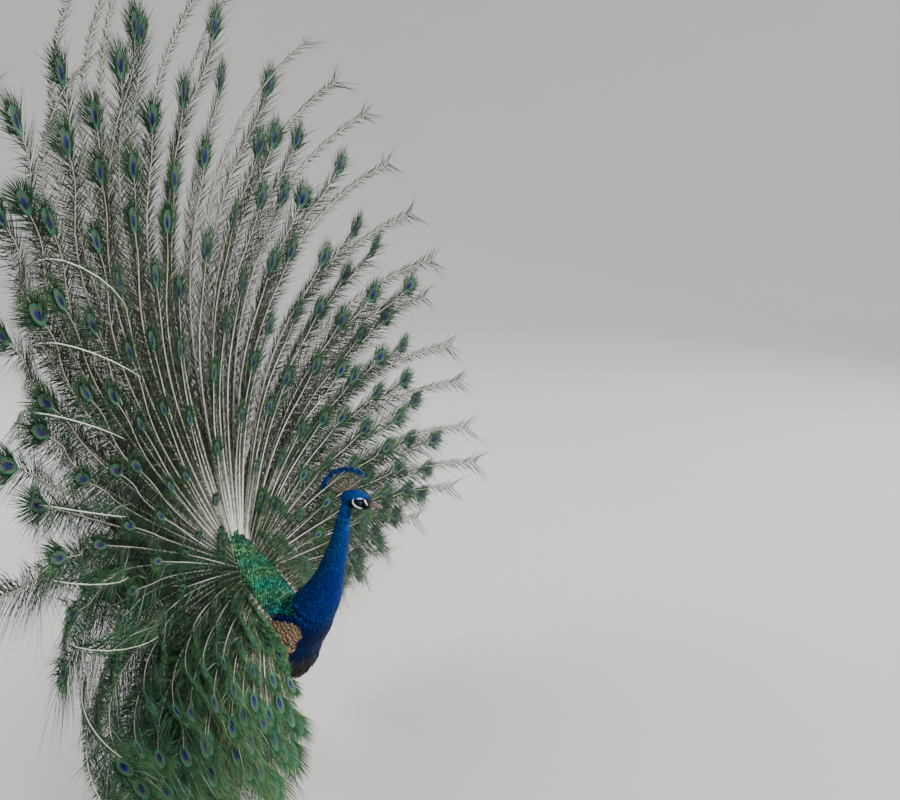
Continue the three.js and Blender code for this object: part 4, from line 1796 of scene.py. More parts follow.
# ------------------------------------------------------------------------------ the train
# The rules hold at these angles from straight up, in degrees, and give millimetres and degrees.
TRAIN_ANGLES = (0, 30, 60, 90, 110, 130, 165)
TRAIN_ROOT = {
    "out": (0, 35, 60, 76, 88, 94, 92),
    "back": (125, 115, 90, 55, 20, -10, -45),
    "up": (575, 570, 545, 510, 475, 445, 405),
}
TRAIN_RULES = {
    Side.LEFT: {
        "length": (1460, 1340, 1090, 950, 720, 420, 300),
        "root_lean": (-22, -19, -10, 0, -8, -20, -20),
        "tip_lean": (42, 54, 56, 58, 16, -5, -10),
        **TRAIN_ROOT,
    },
    Side.RIGHT: {
        "length": (1460, 1420, 1190, 1010, 850, 590, 385),
        "root_lean": (-22, -16, -3, 4, 6, 16, 26),
        "tip_lean": (42, 62, 74, 62, 50, 38, 26),
        **TRAIN_ROOT,
    },
}
LEAN_POWER = 2.2
DROOP = 8
CHART_LENGTH = 1.47


@dataclass
class TrainFeather:
    """One long feather: its line, its frame along the line, and what it carries."""

    number: int
    side: Side
    angle: float
    share: float
    forked: bool
    length: float
    line: Array
    reach: Array
    ahead: Array
    front: Array
    across: Array

    def at(self, table: Array, reach: Array | float) -> Array:
        """Read the feather's table at distances from its root."""
        return columns(*(np.interp(reach, self.reach, table[:, k]) for k in range(3)))

    def turned(self, start: float, end: float) -> float:
        """Give how far the feather's angle has gone from `start` to `end`, from 0 to 1."""
        return float(ease(self.angle, start, end))

    def near(self, start: float, end: float) -> float:
        """Give `turned` for a feather on the right, and 0 for one on the left."""
        return (self.side is Side.RIGHT) * self.turned(start, end)

    @property
    def eye_size(self) -> Array:
        """Size the eye: small near the back, long low on the right.

        Returns:
            Its length and width, and the length of its fringe.
        """
        scale = float(np.interp(self.length, [0.04, 0.16, 0.3, 0.6, 1.0], [0.22, 0.42, 0.62, 0.85, 1.0]))
        low, slim = self.near(88, 112), self.near(110, 85)
        sizes = (68 * (1 + 0.35 * low - 0.08 * slim), 39 * (1 - 0.30 * slim), 44 * (1 + 0.5 * low))
        return np.array(sizes) * MM * scale


@dataclass
class Train:
    """The raised train: eyed feathers of every length, with forked ones round its rim."""

    tools: Tools
    eyed: int = 214
    forked: int = 44
    coverts: int = 78
    hanging: int = 10
    span: float = 162.0
    steps: int = 40
    shortest: float = 0.13
    longest: float = 0.955
    share_power: float = 1.8
    covert_lengths: tuple[float, ...] = (52, 84, 118, 156)
    pieces: int = 5
    seed: int = 4
    barb_gap: float = 3.3 * MM
    barb_width: float = 1.7 * MM
    barb_thick: float = 0.5 * MM
    fringe: int = 72

    @property
    def count(self) -> int:
        """Count the feathers of every kind."""
        return self.eyed + self.forked + self.coverts + self.hanging

    def rules(self, side: Side, angle: float, *names: str) -> list[float]:
        """Read rules of the train at an angle from straight up."""
        return [float(np.interp(angle, TRAIN_ANGLES, TRAIN_RULES[side][name])) for name in names]

    def feather(self, number: int, turn: float, share: float, forked: bool, rng: Rng) -> TrainFeather:
        """Work out one feather's line by summing its heading.

        Args:
            number: Its number.
            turn: Angle from straight up in degrees, positive to the left.
            share: Its length as a share of the longest at that angle.
            forked: Whether it ends in a fork and not in an eye.
            rng: Source of chance.

        Returns:
            The feather.
        """
        side, angle = Side.LEFT if turn > 0 else Side.RIGHT, abs(turn)
        right = side is Side.RIGHT
        full, first, last = self.rules(side, angle, "length", "root_lean", "tip_lean")
        length = full * MM * share
        root = np.array(self.rules(side, angle, "out", "back", "up")) * (side.value, 1, 1) * MM
        root = root + OUT_OF_BACK * (1 - share) * 10 * MM - UP_SLOPE * (1 - share) * 50 * MM
        step = length / self.steps
        points, heading = [root], angle + rng.normal(0, 0.7)
        curl = rng.normal(1.0, 0.10)
        hook = rng.uniform(95, 150) if forked and right and 36 < angle < 76 else 0.0
        recurve = 0.0 if forked else float(ease(angle, 90, 60)) if right else 1.0
        for own in (np.arange(self.steps) + 0.5) / self.steps:
            lean = first + (last - first) * own ** LEAN_POWER * (0.45 + 0.55 * share) * curl
            lean += (1 - share) * 14 * (1 - own) + hook * ease(own, 0.76, 1.0)
            lean -= 0.8 * recurve * lean * ease(length * (1 - own), 0.24, 0.09)
            tilt, bearing = math.radians(lean), math.radians(heading)
            level = math.cos(tilt)
            way = (side.value * math.sin(bearing) * level, -math.sin(tilt), math.cos(bearing) * level)
            points.append(points[-1] + np.array(way) * step)
            heading += DROOP * math.sin(bearing) * step * 2 * own * share
        under = root * (0.35, 1, 1) - OUT_OF_BACK * ((root - BACK_TOP) @ OUT_OF_BACK + 42 * MM)
        behind = root - unit(points[1] - root) * 52 * MM - OUT_OF_BACK * 24 * MM
        inner = behind + (under - behind) * ease(angle, 88, 112)
        line = np.array([inner, (inner + root) / 2 - OUT_OF_BACK * 5 * MM, *points])
        ahead, along = headings(line), np.linspace(0, 1, len(line))[:, None]
        twist = math.radians(rng.normal(0, 9)) + side.value * math.radians(10)
        toward = -0.02 + 0.97 * ease(angle, 50, 100) if right else 0.05
        front = square_to(ahead, FORWARD + 0.20 * UP - X_AXIS * toward)
        front, across = swing(front, np.cross(ahead, front), along * twist)
        line = line + front * 20 * MM * ease(angle, 88, 105) * (right and not forked) * along ** 3
        buried = float(np.linalg.norm(root - inner))
        reach = np.concatenate([[-buried, -buried / 2], np.linspace(0, length, self.steps + 1)])
        return TrainFeather(number, side, angle, share, forked, length, line, reach, ahead, front, across)

    def plan(self) -> list[tuple[float, float, bool]]:
        """Set out every feather: eyed, forked, covert and hanging ones.

        Returns:
            The turn, the share of the full length and whether it is forked, for each feather.
        """
        turns = np.linspace(-self.span, self.span, 81)
        crowd = np.cumsum(1 - 0.45 * ease(-turns, 108, 130) - 0.25 * ease(turns, 100, 130))
        crowd = (crowd - crowd[0]) / (crowd[-1] - crowd[0])
        least = self.shortest ** self.share_power
        made = []
        for i in range(self.eyed):
            share = self.longest * (least + (1 - least) * ((i * GOLDEN) % 1.0)) ** (1 / self.share_power)
            made.append((float(np.interp((i + 0.5) / self.eyed, crowd, turns)), share, False))
        for i in range(self.forked):
            made.append((self.span * 0.94 * (2 * (i + 0.5) / self.forked - 1), 0.0, True))
        for i in range(self.coverts):
            turn = (28 + 122 * ((i * GOLDEN) % 1.0)) * (1 if i % 2 else -1)
            full, = self.rules(Side.LEFT if turn > 0 else Side.RIGHT, abs(turn), "length")
            made.append((turn, self.covert_lengths[(i // 2) % len(self.covert_lengths)] / full, False))
        made += [(-97 - 40 * ((i * GOLDEN) % 1.0), 0.94 - 0.046 * i, False) for i in range(self.hanging)]
        return made

    def feathers(self) -> list[TrainFeather]:
        """Work out every feather; a forked one's length is left to chance.

        Returns:
            The feathers.
        """
        rng = np.random.default_rng(self.seed)
        return [self.feather(number, turn, rng.uniform(0.95, 0.985) if forked else share, forked, rng)
                for number, (turn, share, forked) in enumerate(self.plan())]

    def hue(self, feather: TrainFeather, reach: Array, rng: Rng) -> Array:
        """Give the colour of the barbs along a feather.

        Args:
            feather: The feather.
            reach: Distances from its root.
            rng: Source of chance.

        Returns:
            A colour for each distance.
        """
        drab, olive = (0.082, 0.072, 0.046), (0.048, 0.056, 0.027)
        green, bright = (0.022, 0.085, 0.040), (0.060, 0.130, 0.045)
        down, painted_light_green, painted_glint_silver = (0.42, 0.41, 0.37), (0.110, 0.155, 0.062), (0.40, 0.41, 0.33)
        left, near = feather.length - reach, feather.near(25, 60)
        colors = blend(drab, olive, ease(reach, 0.05, 0.35))
        colors = blend(colors, green, ease(left, 0.45 + 0.3 * near, 0.12) * (0.70 + 0.25 * near))
        colors = blend(colors, bright, ease(left, 0.16, 0.06) * 0.5)
        long = feather.number < self.eyed + self.forked
        colors = blend(colors, down, 0.75 * ease(reach, 0.24, 0.06) * feather.turned(62, 30) * long)
        colors = colors * (0.65 + 0.6 * rng.random())
        # Painted light: barbs low in the fan, fully on the right and half as much on the left, are tinted and
        # lightened against the shade they sit in.
        low = feather.turned(95, 125) * (1.0 if feather.side is Side.RIGHT else 0.5)
        colors = blend(colors, painted_light_green, 0.45 * low) * (1 + 0.9 * low)
        # Painted glints: a random share of the barbs, larger low in the fan, is made pale silver as painted
        # highlights.
        colors = blend(colors, painted_glint_silver, (rng.random(len(reach)) < 0.05 + 0.25 * low) * 0.8)
        colors = colors * (1 - 0.35 * feather.turned(80, 50) * ease(reach, 0.25, 0.5)[:, None])
        return colors * rng.uniform(0.5, 1.4, (len(reach), 1))

    def forked_barbs(self, feather: TrainFeather, left: Array, side: Array, length: Array) -> Array:
        """Draw out the barbs of a forked feather: a fork at its tip, and on the right a one-sided fringe.

        Args:
            feather: The feather.
            left: Distance of each barb from the tip.
            side: Side of the shaft, 1 or -1.
            length: Lengths along a plain feather.

        Returns:
            The lengths.
        """
        near = feather.near(20, 50)
        length = length + 38 * MM * ease(left, 0.55, 0.12) * near
        length = length * (1 - 0.55 * (1 - near) * ease(left, 0.55, 0.25) * ease(left, 0.02, 0.06))
        length = length * np.where(side > 0, 1 - 0.85 * near * ease(left, 0.6, 0.3), 1.0)
        return length * (1 - 0.5 * near * ease(left, 0.22 * feather.length, 0.12 * feather.length))

    def barbs(self, feather: TrainFeather, rng: Rng) -> Cloud:
        """Set the barbs along both sides of a feather's shaft.

        Args:
            feather: The feather.
            rng: Source of chance.

        Returns:
            The barbs.
        """
        long, _, fringe = feather.eye_size
        end = feather.length - (10 * MM if feather.forked else fringe + 0.4 * long)
        bare = feather.turned(58, 24)
        start = max(0.030, feather.length * 0.06) * bare + feather.reach[1] * 0.6 * (1 - bare)
        gap = self.barb_gap * (1.35 if feather.forked else 1.0)
        reach = np.repeat(np.arange(start, end, gap), 2)
        count = len(reach)
        side = np.tile([1.0, -1.0], count // 2)
        reach = reach + rng.uniform(-0.45, 0.45, count) * gap
        left = feather.length - reach
        line = feather.at(feather.line, reach)
        frame_ways = (feather.ahead, feather.front, feather.across)
        ahead, front, across = (unit(feather.at(way, reach)) for way in frame_ways)
        slant = 58 - 14 * ease(reach, 0.05, 0.4)
        length = (15 + 55 * ease(reach, 0.03, 0.40)) * MM * (0.60 + 0.40 * feather.share)
        if feather.forked:
            slant = slant + 12 * ease(left, 0.10, 0.02)
            length = self.forked_barbs(feather, left, side, length)
        else:
            length = length + 14 * MM * ease(left, 0.30, 0.10)
            slant = slant - 12 * ease(left, 0.24, 0.10)
        low = feather.near(114, 134)
        slant = np.radians(slant + rng.normal(0, 10 - 6 * low, count))[:, None]
        beside = feather.near(55, 75) * feather.turned(140, 115)
        length = length * rng.uniform(0.62, 1.2, count) * (1 + 0.55 * beside) * (1 - 0.38 * low)
        lie = ahead * np.cos(slant) + across * side[:, None] * np.sin(slant)
        lie = unit(lie + front * rng.normal(0.03, 0.10, count)[:, None])
        bend = ahead * (length * rng.uniform(0.10, 0.40, count))[:, None] - UP * (length * 0.22)[:, None]
        width = self.barb_width * (1 + 0.15 * ease(left, 0.3, 0.1)) * rng.uniform(0.7, 1.2, count)
        tone = columns(rng.random(count), reach / feather.length, rng.random())
        size, seat = columns(width, length, self.barb_thick), self.seat(feather, reach, side)
        return Cloud(line, lie, front, size, bend, seat, self.hue(feather, reach, rng), tone)

    def seat(self, feather: TrainFeather, reach: Array, side: Array) -> Array:
        """Lay a barb's patch on the bake map: each feather has a band, its root at the left.

        Args:
            feather: The feather.
            reach: Distances from its root.
            side: Side of the shaft, 1 or -1.

        Returns:
            A place for each barb.
        """
        bands = math.ceil(self.count / self.pieces)
        pair = np.arange(len(reach)) // 2 % 2
        row = (feather.number // self.pieces + 0.25 + 0.25 * (side > 0) + 0.15 * pair) / bands
        return columns(0.005 + 0.985 * np.maximum(reach, 0) / CHART_LENGTH, 0.002 + 0.99 * row, 0)

    def eye(self, feather: TrainFeather, rng: Rng) -> tuple[Cloud, Cloud]:
        """Set the eye of a feather and the loose barbs round it.

        Args:
            feather: The feather.
            rng: Source of chance.

        Returns:
            The eye's plate, and its fringe.
        """
        long, wide, fringe_reach = feather.eye_size * rng.uniform(0.92, 1.04)
        start = feather.length - fringe_reach - long
        root = feather.at(feather.line, start)
        ahead, front = unit(feather.at(feather.ahead, start)), unit(feather.at(feather.front, start))
        across = np.cross(ahead, front)
        bend = feather.at(feather.line, start + long) - root - ahead * long
        slot = (feather.number - (0 if feather.number < self.eyed else self.forked)) // 2
        tone = (rng.random(), 1.0, rng.random())
        low = feather.near(88, 112)
        # The spot's outer ground is lightened low on the right: painted light against the shade there.
        rim = np.array([0.034, 0.150, 0.078]) * rng.uniform(0.8, 1.2) * (1 + 0.7 * low)
        plate = Cloud(root + front * MM, ahead, front, (wide, long, 1.1 * MM), bend,
                      ((slot % 13) / 13 + 0.001, (slot // 13) / 13 + 0.001, 0), rim, tone)
        turn = np.radians(np.linspace(-152, 152, self.fringe) + rng.normal(0, 2.5, self.fringe))
        x = 0.5 * wide * 0.90 * np.sin(turn)
        y = 0.5 * long * (1 + 0.92 * np.cos(turn))
        way = unit(unit(columns(np.sin(turn) / wide, np.cos(turn) / long)) * 0.62 + (0.0, 0.80))
        share = (y / long)[:, None]
        places = root + across * x[:, None] + ahead * y[:, None] + bend * share ** 2
        lie = across * way[:, :1] + unit(ahead + bend / long * 2 * share) * way[:, 1:]
        lie = unit(lie + front * rng.normal(0.02, 0.10, (self.fringe, 1)))
        length = fringe_reach * rng.uniform(0.75, 1.12, self.fringe) * (1.0 + 0.15 * (share[:, 0] < 0.4))
        bent = np.linalg.norm(bend)
        pull = across * (-np.sign(x) * 0.10)[:, None] + (bend / bent if bent > 1e-6 else -UP) * 0.22
        hue = blend((0.024, 0.130, 0.080), (0.110, 0.180, 0.045), rng.random(self.fringe) ** 1.4)
        # The fringe is lightened low on the right, painted light against the shade there, and darker on the upper
        # feathers.
        hue = hue * rng.uniform(0.7, 1.2) * (1 - 0.35 * feather.turned(80, 50) + 0.6 * low)
        reach = np.linspace(start, feather.length, self.fringe)
        size = columns(self.barb_width * 1.05, length, self.barb_thick)
        seat = self.seat(feather, reach, np.sign(x))
        tones = columns(rng.random(self.fringe), 1, 0)
        return plate, Cloud(places, lie, front, size, pull * length[:, None], seat, hue, tones)

    def quill(self, feather: TrainFeather, lines: Lines) -> None:
        """Add a feather's shaft.

        Args:
            feather: The feather.
            lines: The lines it joins.
        """
        long, _, fringe = feather.eye_size
        forked, right = feather.forked, feather.side is Side.RIGHT
        end = feather.length - (4 * MM if forked else fringe + 0.88 * long)
        reach = np.concatenate([feather.reach[:2], np.linspace(0, end, self.steps + 1)])
        share = np.maximum(reach, 0) / feather.length
        low = feather.near(95, 125) * float(ease(feather.length, 0.16, 0.32))
        top = feather.turned(80, 50)
        thick = np.interp(feather.length, [0.05, 0.2, 0.5, 1.3], [0.7, 1.3, 2.3, 3.1]) * MM
        girth = 0.3 * MM + thick * (0.80 if forked else 0.56) * (1 - share) ** 0.62
        girth = girth + 0.75 * thick * (1 - share) ** 5 * feather.turned(50, 20)
        girth = girth * (1 + 0.55 * low + 0.35 * top)
        ivory, tan, brown = (0.84, 0.82, 0.75), (0.62, 0.54, 0.40), (0.24, 0.16, 0.09)
        tanned = 0.1 if forked and right and feather.angle > 25 else 0.8 * (1 - low)
        hue = blend(ivory, tan, ease(reach, 0.35, 0.85) * tanned)
        browned = 0.0 if forked else 0.8 - 0.5 * low - 0.35 * top
        hue = blend(hue, brown, ease(feather.length - reach, 0.22, 0.05) * browned)
        hue = hue * (1 - 0.55 * (1 - low) * float(ease(feather.length, 0.26, 0.14)))
        row = (feather.number + 0.5) / self.count
        seat = columns(0.06 + 0.93 * reach / CHART_LENGTH, 0.002 + 0.99 * row, 0)
        forward = feather.at(feather.front, reach) * (1.0 + 1.5 * low) * MM
        lines.add(feather.at(feather.line, reach) + forward, girth, hue, seat)

    def build(self) -> list[Obj]:
        """Build the whole train.

        Returns:
            Its pieces.
        """
        rng = np.random.default_rng(self.seed + 1)
        bands, fringes, eyes = ([[] for _ in range(count)] for count in (self.pieces, self.pieces, 2))
        shafts = Lines()
        for feather in self.feathers():
            band, fringe = bands[feather.number % self.pieces], fringes[feather.number % self.pieces]
            barbs = self.barbs(feather, rng)
            self.quill(feather, shafts)
            if feather.forked:
                fringe.append(barbs)
                continue
            band.append(barbs)
            plate, loose = self.eye(feather, rng)
            eyes[feather.number % 2].append(plate)
            fringe.append(loose)
        made = []
        for name, clouds in (("barbs", bands), ("fringe", fringes)):
            for k, own in enumerate(clouds, 1):
                cloud = Cloud.together(own).within(*ROOM)
                made.append(self.tools.plumes(cloud, f"train_{name}_{k}", "barb_plain", "barb"))
        for k, own in enumerate(eyes, 1):
            cloud = Cloud.together(own)
            made.append(self.tools.plumes(cloud, f"train_eyes_{k}", "eye", "eye_spot", patch=0.073))
        return [*made, self.tools.quills(shafts, "train_quills")]


# ------------------------------------------------------------------------------ head
# Strips of bare white skin: places ahead of and above the eye's centre, and half widths, in millimetres.
BARE_PATCHES = (
    ((-7.5, 8.8, 0.4), (-3.0, 10.3, 1.5), (1.5, 10.4, 1.6), (5.2, 9.2, 0.5)),
    ((-15.5, 9.0, 0.5), (-17.2, 2.5, 2.0), (-14.6, -5.0, 3.0), (-8.8, -10.8, 3.5), (-1.5, -13.6, 2.9),
     (4.6, -13.4, 1.0)),
    ((7.8, 9.4, 0.5), (10.4, 6.2, 1.5), (12.8, 2.2, 1.8), (15.2, -2.6, 1.4), (17.0, -6.0, 0.5)),
)

LID_SLATE = (0.020, 0.030, 0.045)
CHALK = (0.80, 0.80, 0.78)


@dataclass
class Bill:
    """The bill's two halves, the upper one hooked over the lower."""

    base: float = -279 * MM
    tip: float = -313 * MM
    height: float = 708.5 * MM
    slope: float = 0.1
    width: float = 8.8 * MM
    upper: float = 8.6 * MM
    lower: float = 5.0 * MM
    hook: float = 2.6 * MM
    lower_short: float = 4.5 * MM
    steps: int = 36
    sides: int = 28

    def half(self, up: int) -> tuple[Shape, Array]:
        """Shape one half of the bill.

        Args:
            up: 1 for the upper half, which hooks over, and -1 for the lower.

        Returns:
            Its points and faces, and its pattern coordinates.
        """
        tip = self.tip + (0 if up > 0 else self.lower_short)
        hook_start = self.tip + self.lower_short + 4 * MM
        points, leaf = [], []
        for t in np.arange(self.steps + 1) / self.steps:
            y = self.base + (tip - self.base) * t
            taper = math.sqrt(max(0.0, 1 - t ** 2.2)) * 0.96 + 0.04
            hooked = self.hook * max(0.0, (hook_start - y) / (hook_start - self.tip)) ** 2 if up > 0 else 0.0
            gape = self.height - self.slope * (self.base - y) - hooked
            high = (self.upper if up > 0 else self.lower) * taper
            wide = self.width * taper * (0.80 + 0.20 * (1 - t))
            for j in range(self.sides):
                turn = 2 * math.pi * j / self.sides
                x, z = math.cos(turn), math.sin(turn)
                swell = abs(z) ** 0.85 * high if z > 0 else -0.35 * MM * abs(z)
                nostril = 0.0
                if up > 0 and z > 0:
                    far = ((t - 0.30) / 0.11) ** 2 + ((turn if x > 0 else math.pi - turn) - 0.66) ** 2 / 0.045
                    nostril = 2.0 * MM * math.exp(-far)
                pinch = 1 - 0.22 * max(0.0, z) ** 2
                rise = 0.15 * MM + swell - nostril * 0.3
                points.append((x * (wide * pinch - nostril), y, gape + up * rise))
                leaf.append((j / self.sides, t, nostril / MM))
        points = np.array(points)
        points = np.vstack([points, points[:self.sides].mean(axis=0), points[-self.sides:].mean(axis=0)])
        return (points, tube_faces(self.steps + 1, self.sides)), np.array(leaf + [(0, 0, 0), (0, 1, 0)])


@dataclass
class Head:
    """Eyes, lids and bare patches, and the bill with its nostrils."""

    tools: Tools
    bill: Bill = field(default_factory=Bill)
    patch_height: float = 0.8 * MM

    def is_bare(self, places: Array) -> Array:
        """Tell where the eyes, the bare patches and the bill keep the face free of feathers.

        Args:
            places: Places on the skin.

        Returns:
            True or False for each place.
        """
        out, ahead, above = np.abs(places[:, 0]), EYE_PLACE[1] - places[:, 1], places[:, 2] - EYE_PLACE[2]
        bare = (np.hypot(ahead, above) <= 5.6 * MM) & (out >= 9 * MM)
        for spine in BARE_PATCHES:
            x, y, half = smooth_rows(spine, 24).T * MM
            gap = np.hypot(ahead[:, None] - x, above[:, None] - y)
            bare |= (gap <= half + 0.1 * MM).any(axis=1) & (out >= 8 * MM)
        return bare | (places[:, 1] <= self.bill.base - 1 * MM)

    def eye_frame(self, side: Side) -> tuple[Array, Array, Array, Array]:
        """Place one eye.

        Args:
            side: Side of the head.

        Returns:
            The eye's centre, and the directions out of it, along it and up it.
        """
        axis = unit(np.array([side.value, -0.22, 0.06]))
        level = unit(np.cross(UP, axis))
        return EYE_PLACE * (side.value, 1, 1), axis, level, np.cross(axis, level)

    def eyeball(self, side: Side) -> Obj:
        """Make one eye, a ball with a raised clear front.

        Args:
            side: Side of the head.

        Returns:
            The eyeball.
        """
        centre, axis, level, high = self.eye_frame(side)
        rings, count = 20, 32
        polar = np.linspace(0.02, np.pi - 0.02, rings)
        turn = around(count)
        radius = EYE_RADIUS * (1 + 0.05 * np.exp(-(polar / 0.55) ** 2))
        spread = level * np.cos(turn)[:, None] + high * np.sin(turn)[:, None]
        points = (centre + axis * (radius * np.cos(polar))[:, None, None]
                  + spread[None] * (radius * np.sin(polar))[:, None, None]).reshape(-1, 3)
        points = np.vstack([points, centre + axis * radius[0], centre - axis * radius[-1]])
        leaf = columns(np.repeat(polar / (np.pi / 2), count), np.tile(np.cos(turn) * 0.5 + 0.5, rings),
                       np.tile(np.sin(turn) * 0.5 + 0.5, rings))
        leaf = np.vstack([leaf, (0, 0, 0), (2, 0, 0)])
        shape = (points, tube_faces(rings, count))
        return solid(f"eyeball_{side}", shape, self.tools.finishes["eyeball"], leaf)

    def lid(self, side: Side) -> Obj:
        """Make the beaded rim of the eyelids, thickest above.

        Args:
            side: Side of the head.

        Returns:
            The rim.
        """
        centre, axis, level, high = self.eye_frame(side)
        count, sides = 96, 10
        turn, about = around(count), around(sides)
        out = (level * (np.cos(turn) * 4.75)[:, None] + high * (np.sin(turn) * 4.15)[:, None]) * MM
        thick = ((0.95 + 0.30 * np.sin(turn) + 0.10 * np.sin(turn * 30)) * MM)[:, None]
        rim = (centre + axis * 2.5 * MM + out)[:, None]
        across = unit(out)[:, None] * (thick * np.cos(about))[..., None]
        points = (rim + across + axis * (thick * np.sin(about) * 0.9)[..., None]).reshape(-1, 3)
        faces = [[k % len(points) for k in face] for face in grid_faces(count + 1, sides, closed=True)]
        return solid(f"eyelid_{side}", (points, faces), self.tools.finishes["bare_face"], None, LID_SLATE)

    def bare_skin(self, side: Side, tree: BVHTree) -> Obj:
        """Lay the bare white patches of one side over the skin.

        Args:
            side: Side of the head.
            tree: The skin, for finding its surface.

        Returns:
            The patches as one piece.
        """
        shapes = []
        steps, width = 30, 9
        for spine in BARE_PATCHES:
            fine = smooth_rows(np.array(spine) * MM, steps)
            way = headings(fine * (1, 1, 0))
            top, bottom = [], []
            for i, ((ahead, above, half), (x_way, y_way, _)) in enumerate(zip(fine, way)):
                wave = half * (1 + 0.10 * math.sin(i * 0.9) * min(1.0, i / 4, (steps - i) / 4))
                for x in np.linspace(-1, 1, width):
                    start = np.array([side.value * 0.05, EYE_PLACE[1] - ahead + y_way * wave * x,
                                      EYE_PLACE[2] + above + x_way * wave * x])
                    hit, normal, _, _ = tree.ray_cast(Vector(start + HOME), Vector((-side.value, 0, 0)))
                    place, normal = np.array(hit) - HOME, np.array(normal)
                    end = min(1.0, i / 3, (steps - i) / 3)
                    high = self.patch_height * math.sqrt(max(0.0, 1 - x * x)) * end + 0.25 * MM
                    grain = 0.12 * MM * math.sin(i * 2.9 + x * 9) * (1 - x * x)
                    top.append(place + normal * (high + grain))
                    bottom.append(place - normal * 1.2 * MM)
            shapes.append(closed_sheet(np.array(top), np.array(bottom), steps + 1, width))
        return solid(f"bare_patches_{side}", merged(shapes), self.tools.finishes["bare_white"], None, CHALK)

    def bill_half(self, up: int) -> Obj:
        """Make one half of the bill: 1 for the upper, -1 for the lower."""
        shape, leaf = self.bill.half(up)
        return solid(f"bill_{'upper' if up > 0 else 'lower'}_horn", shape, self.tools.finishes["bill"], leaf)


@dataclass
class Crest:
    """The upright fan of bare shafts with blue tips on the crown."""

    tools: Tools
    root: tuple[float, float] = (-228 * MM, 737 * MM)
    root_spread: float = 9 * MM
    first: float = -22.0
    last: float = 84.0
    reach: float = 62 * MM
    feathers: int = 25
    tip_length: float = 13.5 * MM
    tip_width: float = 9.6 * MM
    seed: int = 9

    def hairs(self, lines: Sequence[Array], rng: Rng) -> Cloud:
        """Set sparse short hairs along the bare shafts.

        Args:
            lines: The shafts.
            rng: Source of chance.

        Returns:
            The hairs.
        """
        rows = []
        for i, line in enumerate(lines):
            way = headings(line)
            for j in range(2, 8):
                for sign in (1, -1):
                    lie = unit(way[j] * 0.8 + np.array([0, way[j][2], -way[j][1]]) * sign * 0.6)
                    rows.append((*line[j], *lie, 0.02 + 0.11 * j, (i + 0.3) / self.feathers, 0))
        place, lie, seat = np.split(np.array(rows), 3, axis=1)
        size, hue = np.array((0.35, 3.2, 0.25)) * MM, (0.06, 0.06, 0.07)
        return Cloud(place, lie, X_AXIS, size, (0, 0, 0), seat, hue, rng.random((len(rows), 3)))

    def build(self) -> list[Obj]:
        """Build the crest.

        Returns:
            Its tips, its shafts and the shafts' hairs.
        """
        rng = np.random.default_rng(self.seed)
        shafts, tips = Lines(), []
        t = np.linspace(0, 1, 9)
        for i in range(self.feathers):
            share = i / (self.feathers - 1)
            angle = math.radians(self.first + (self.last - self.first) * share + rng.normal(0, 0.8))
            out = ((i % 3) - 1) * 2.2 * MM + rng.normal(0, 0.4) * MM
            y = self.root[0] + self.root_spread * (2 * share - 1)
            root = np.array([out * 0.5, y, self.root[1] - 9 * MM])
            way = unit(np.array([out * 6, math.sin(angle), math.cos(angle)]))
            length = self.reach * rng.uniform(0.94, 1.0)
            bow = FORWARD * 3 * MM * (t * (1 - t) * 4)[:, None]
            line = root + way * (t * (length + 6 * MM))[:, None] + bow
            hue = blend((0.20, 0.15, 0.10), (0.05, 0.07, 0.12), ease(t, 0.5, 0.9))
            seat = columns(0.02 + 0.95 * t, (i + 0.5) / self.feathers, 0)
            shafts.add(line[:8], np.linspace(0.55, 0.30, 8) * MM, hue[:8], seat[:8])
            ahead = headings(line)[-1]
            face = unit(np.cross(ahead, np.array([0.0, ahead[2], -ahead[1]])))
            hue = np.array([0.010, 0.050, 0.26]) * rng.uniform(0.75, 1.25)
            size = (self.tip_width * rng.uniform(0.9, 1.1), self.tip_length, 0.8 * MM)
            seat, tone = (0.01 + (i % 5) * 0.19, 0.01 + (i // 5) * 0.19, 0), (rng.random(), 0.5, 0.0)
            root = line[-1] - ahead * self.tip_length
            tips.append(Cloud(root, ahead, face, size, (0.0, 1.5 * MM, 0.0), seat, hue, tone))
        hairs = self.hairs(shafts.places, rng)
        shafts = self.tools.quills(shafts, "crest_shafts", sides=6)
        return [self.tools.plumes(Cloud.together(tips), "crest_tips", "spatula", "crest", patch=0.18), shafts,
                self.tools.plumes(hairs, "crest_barbs", "barb", "barb")]


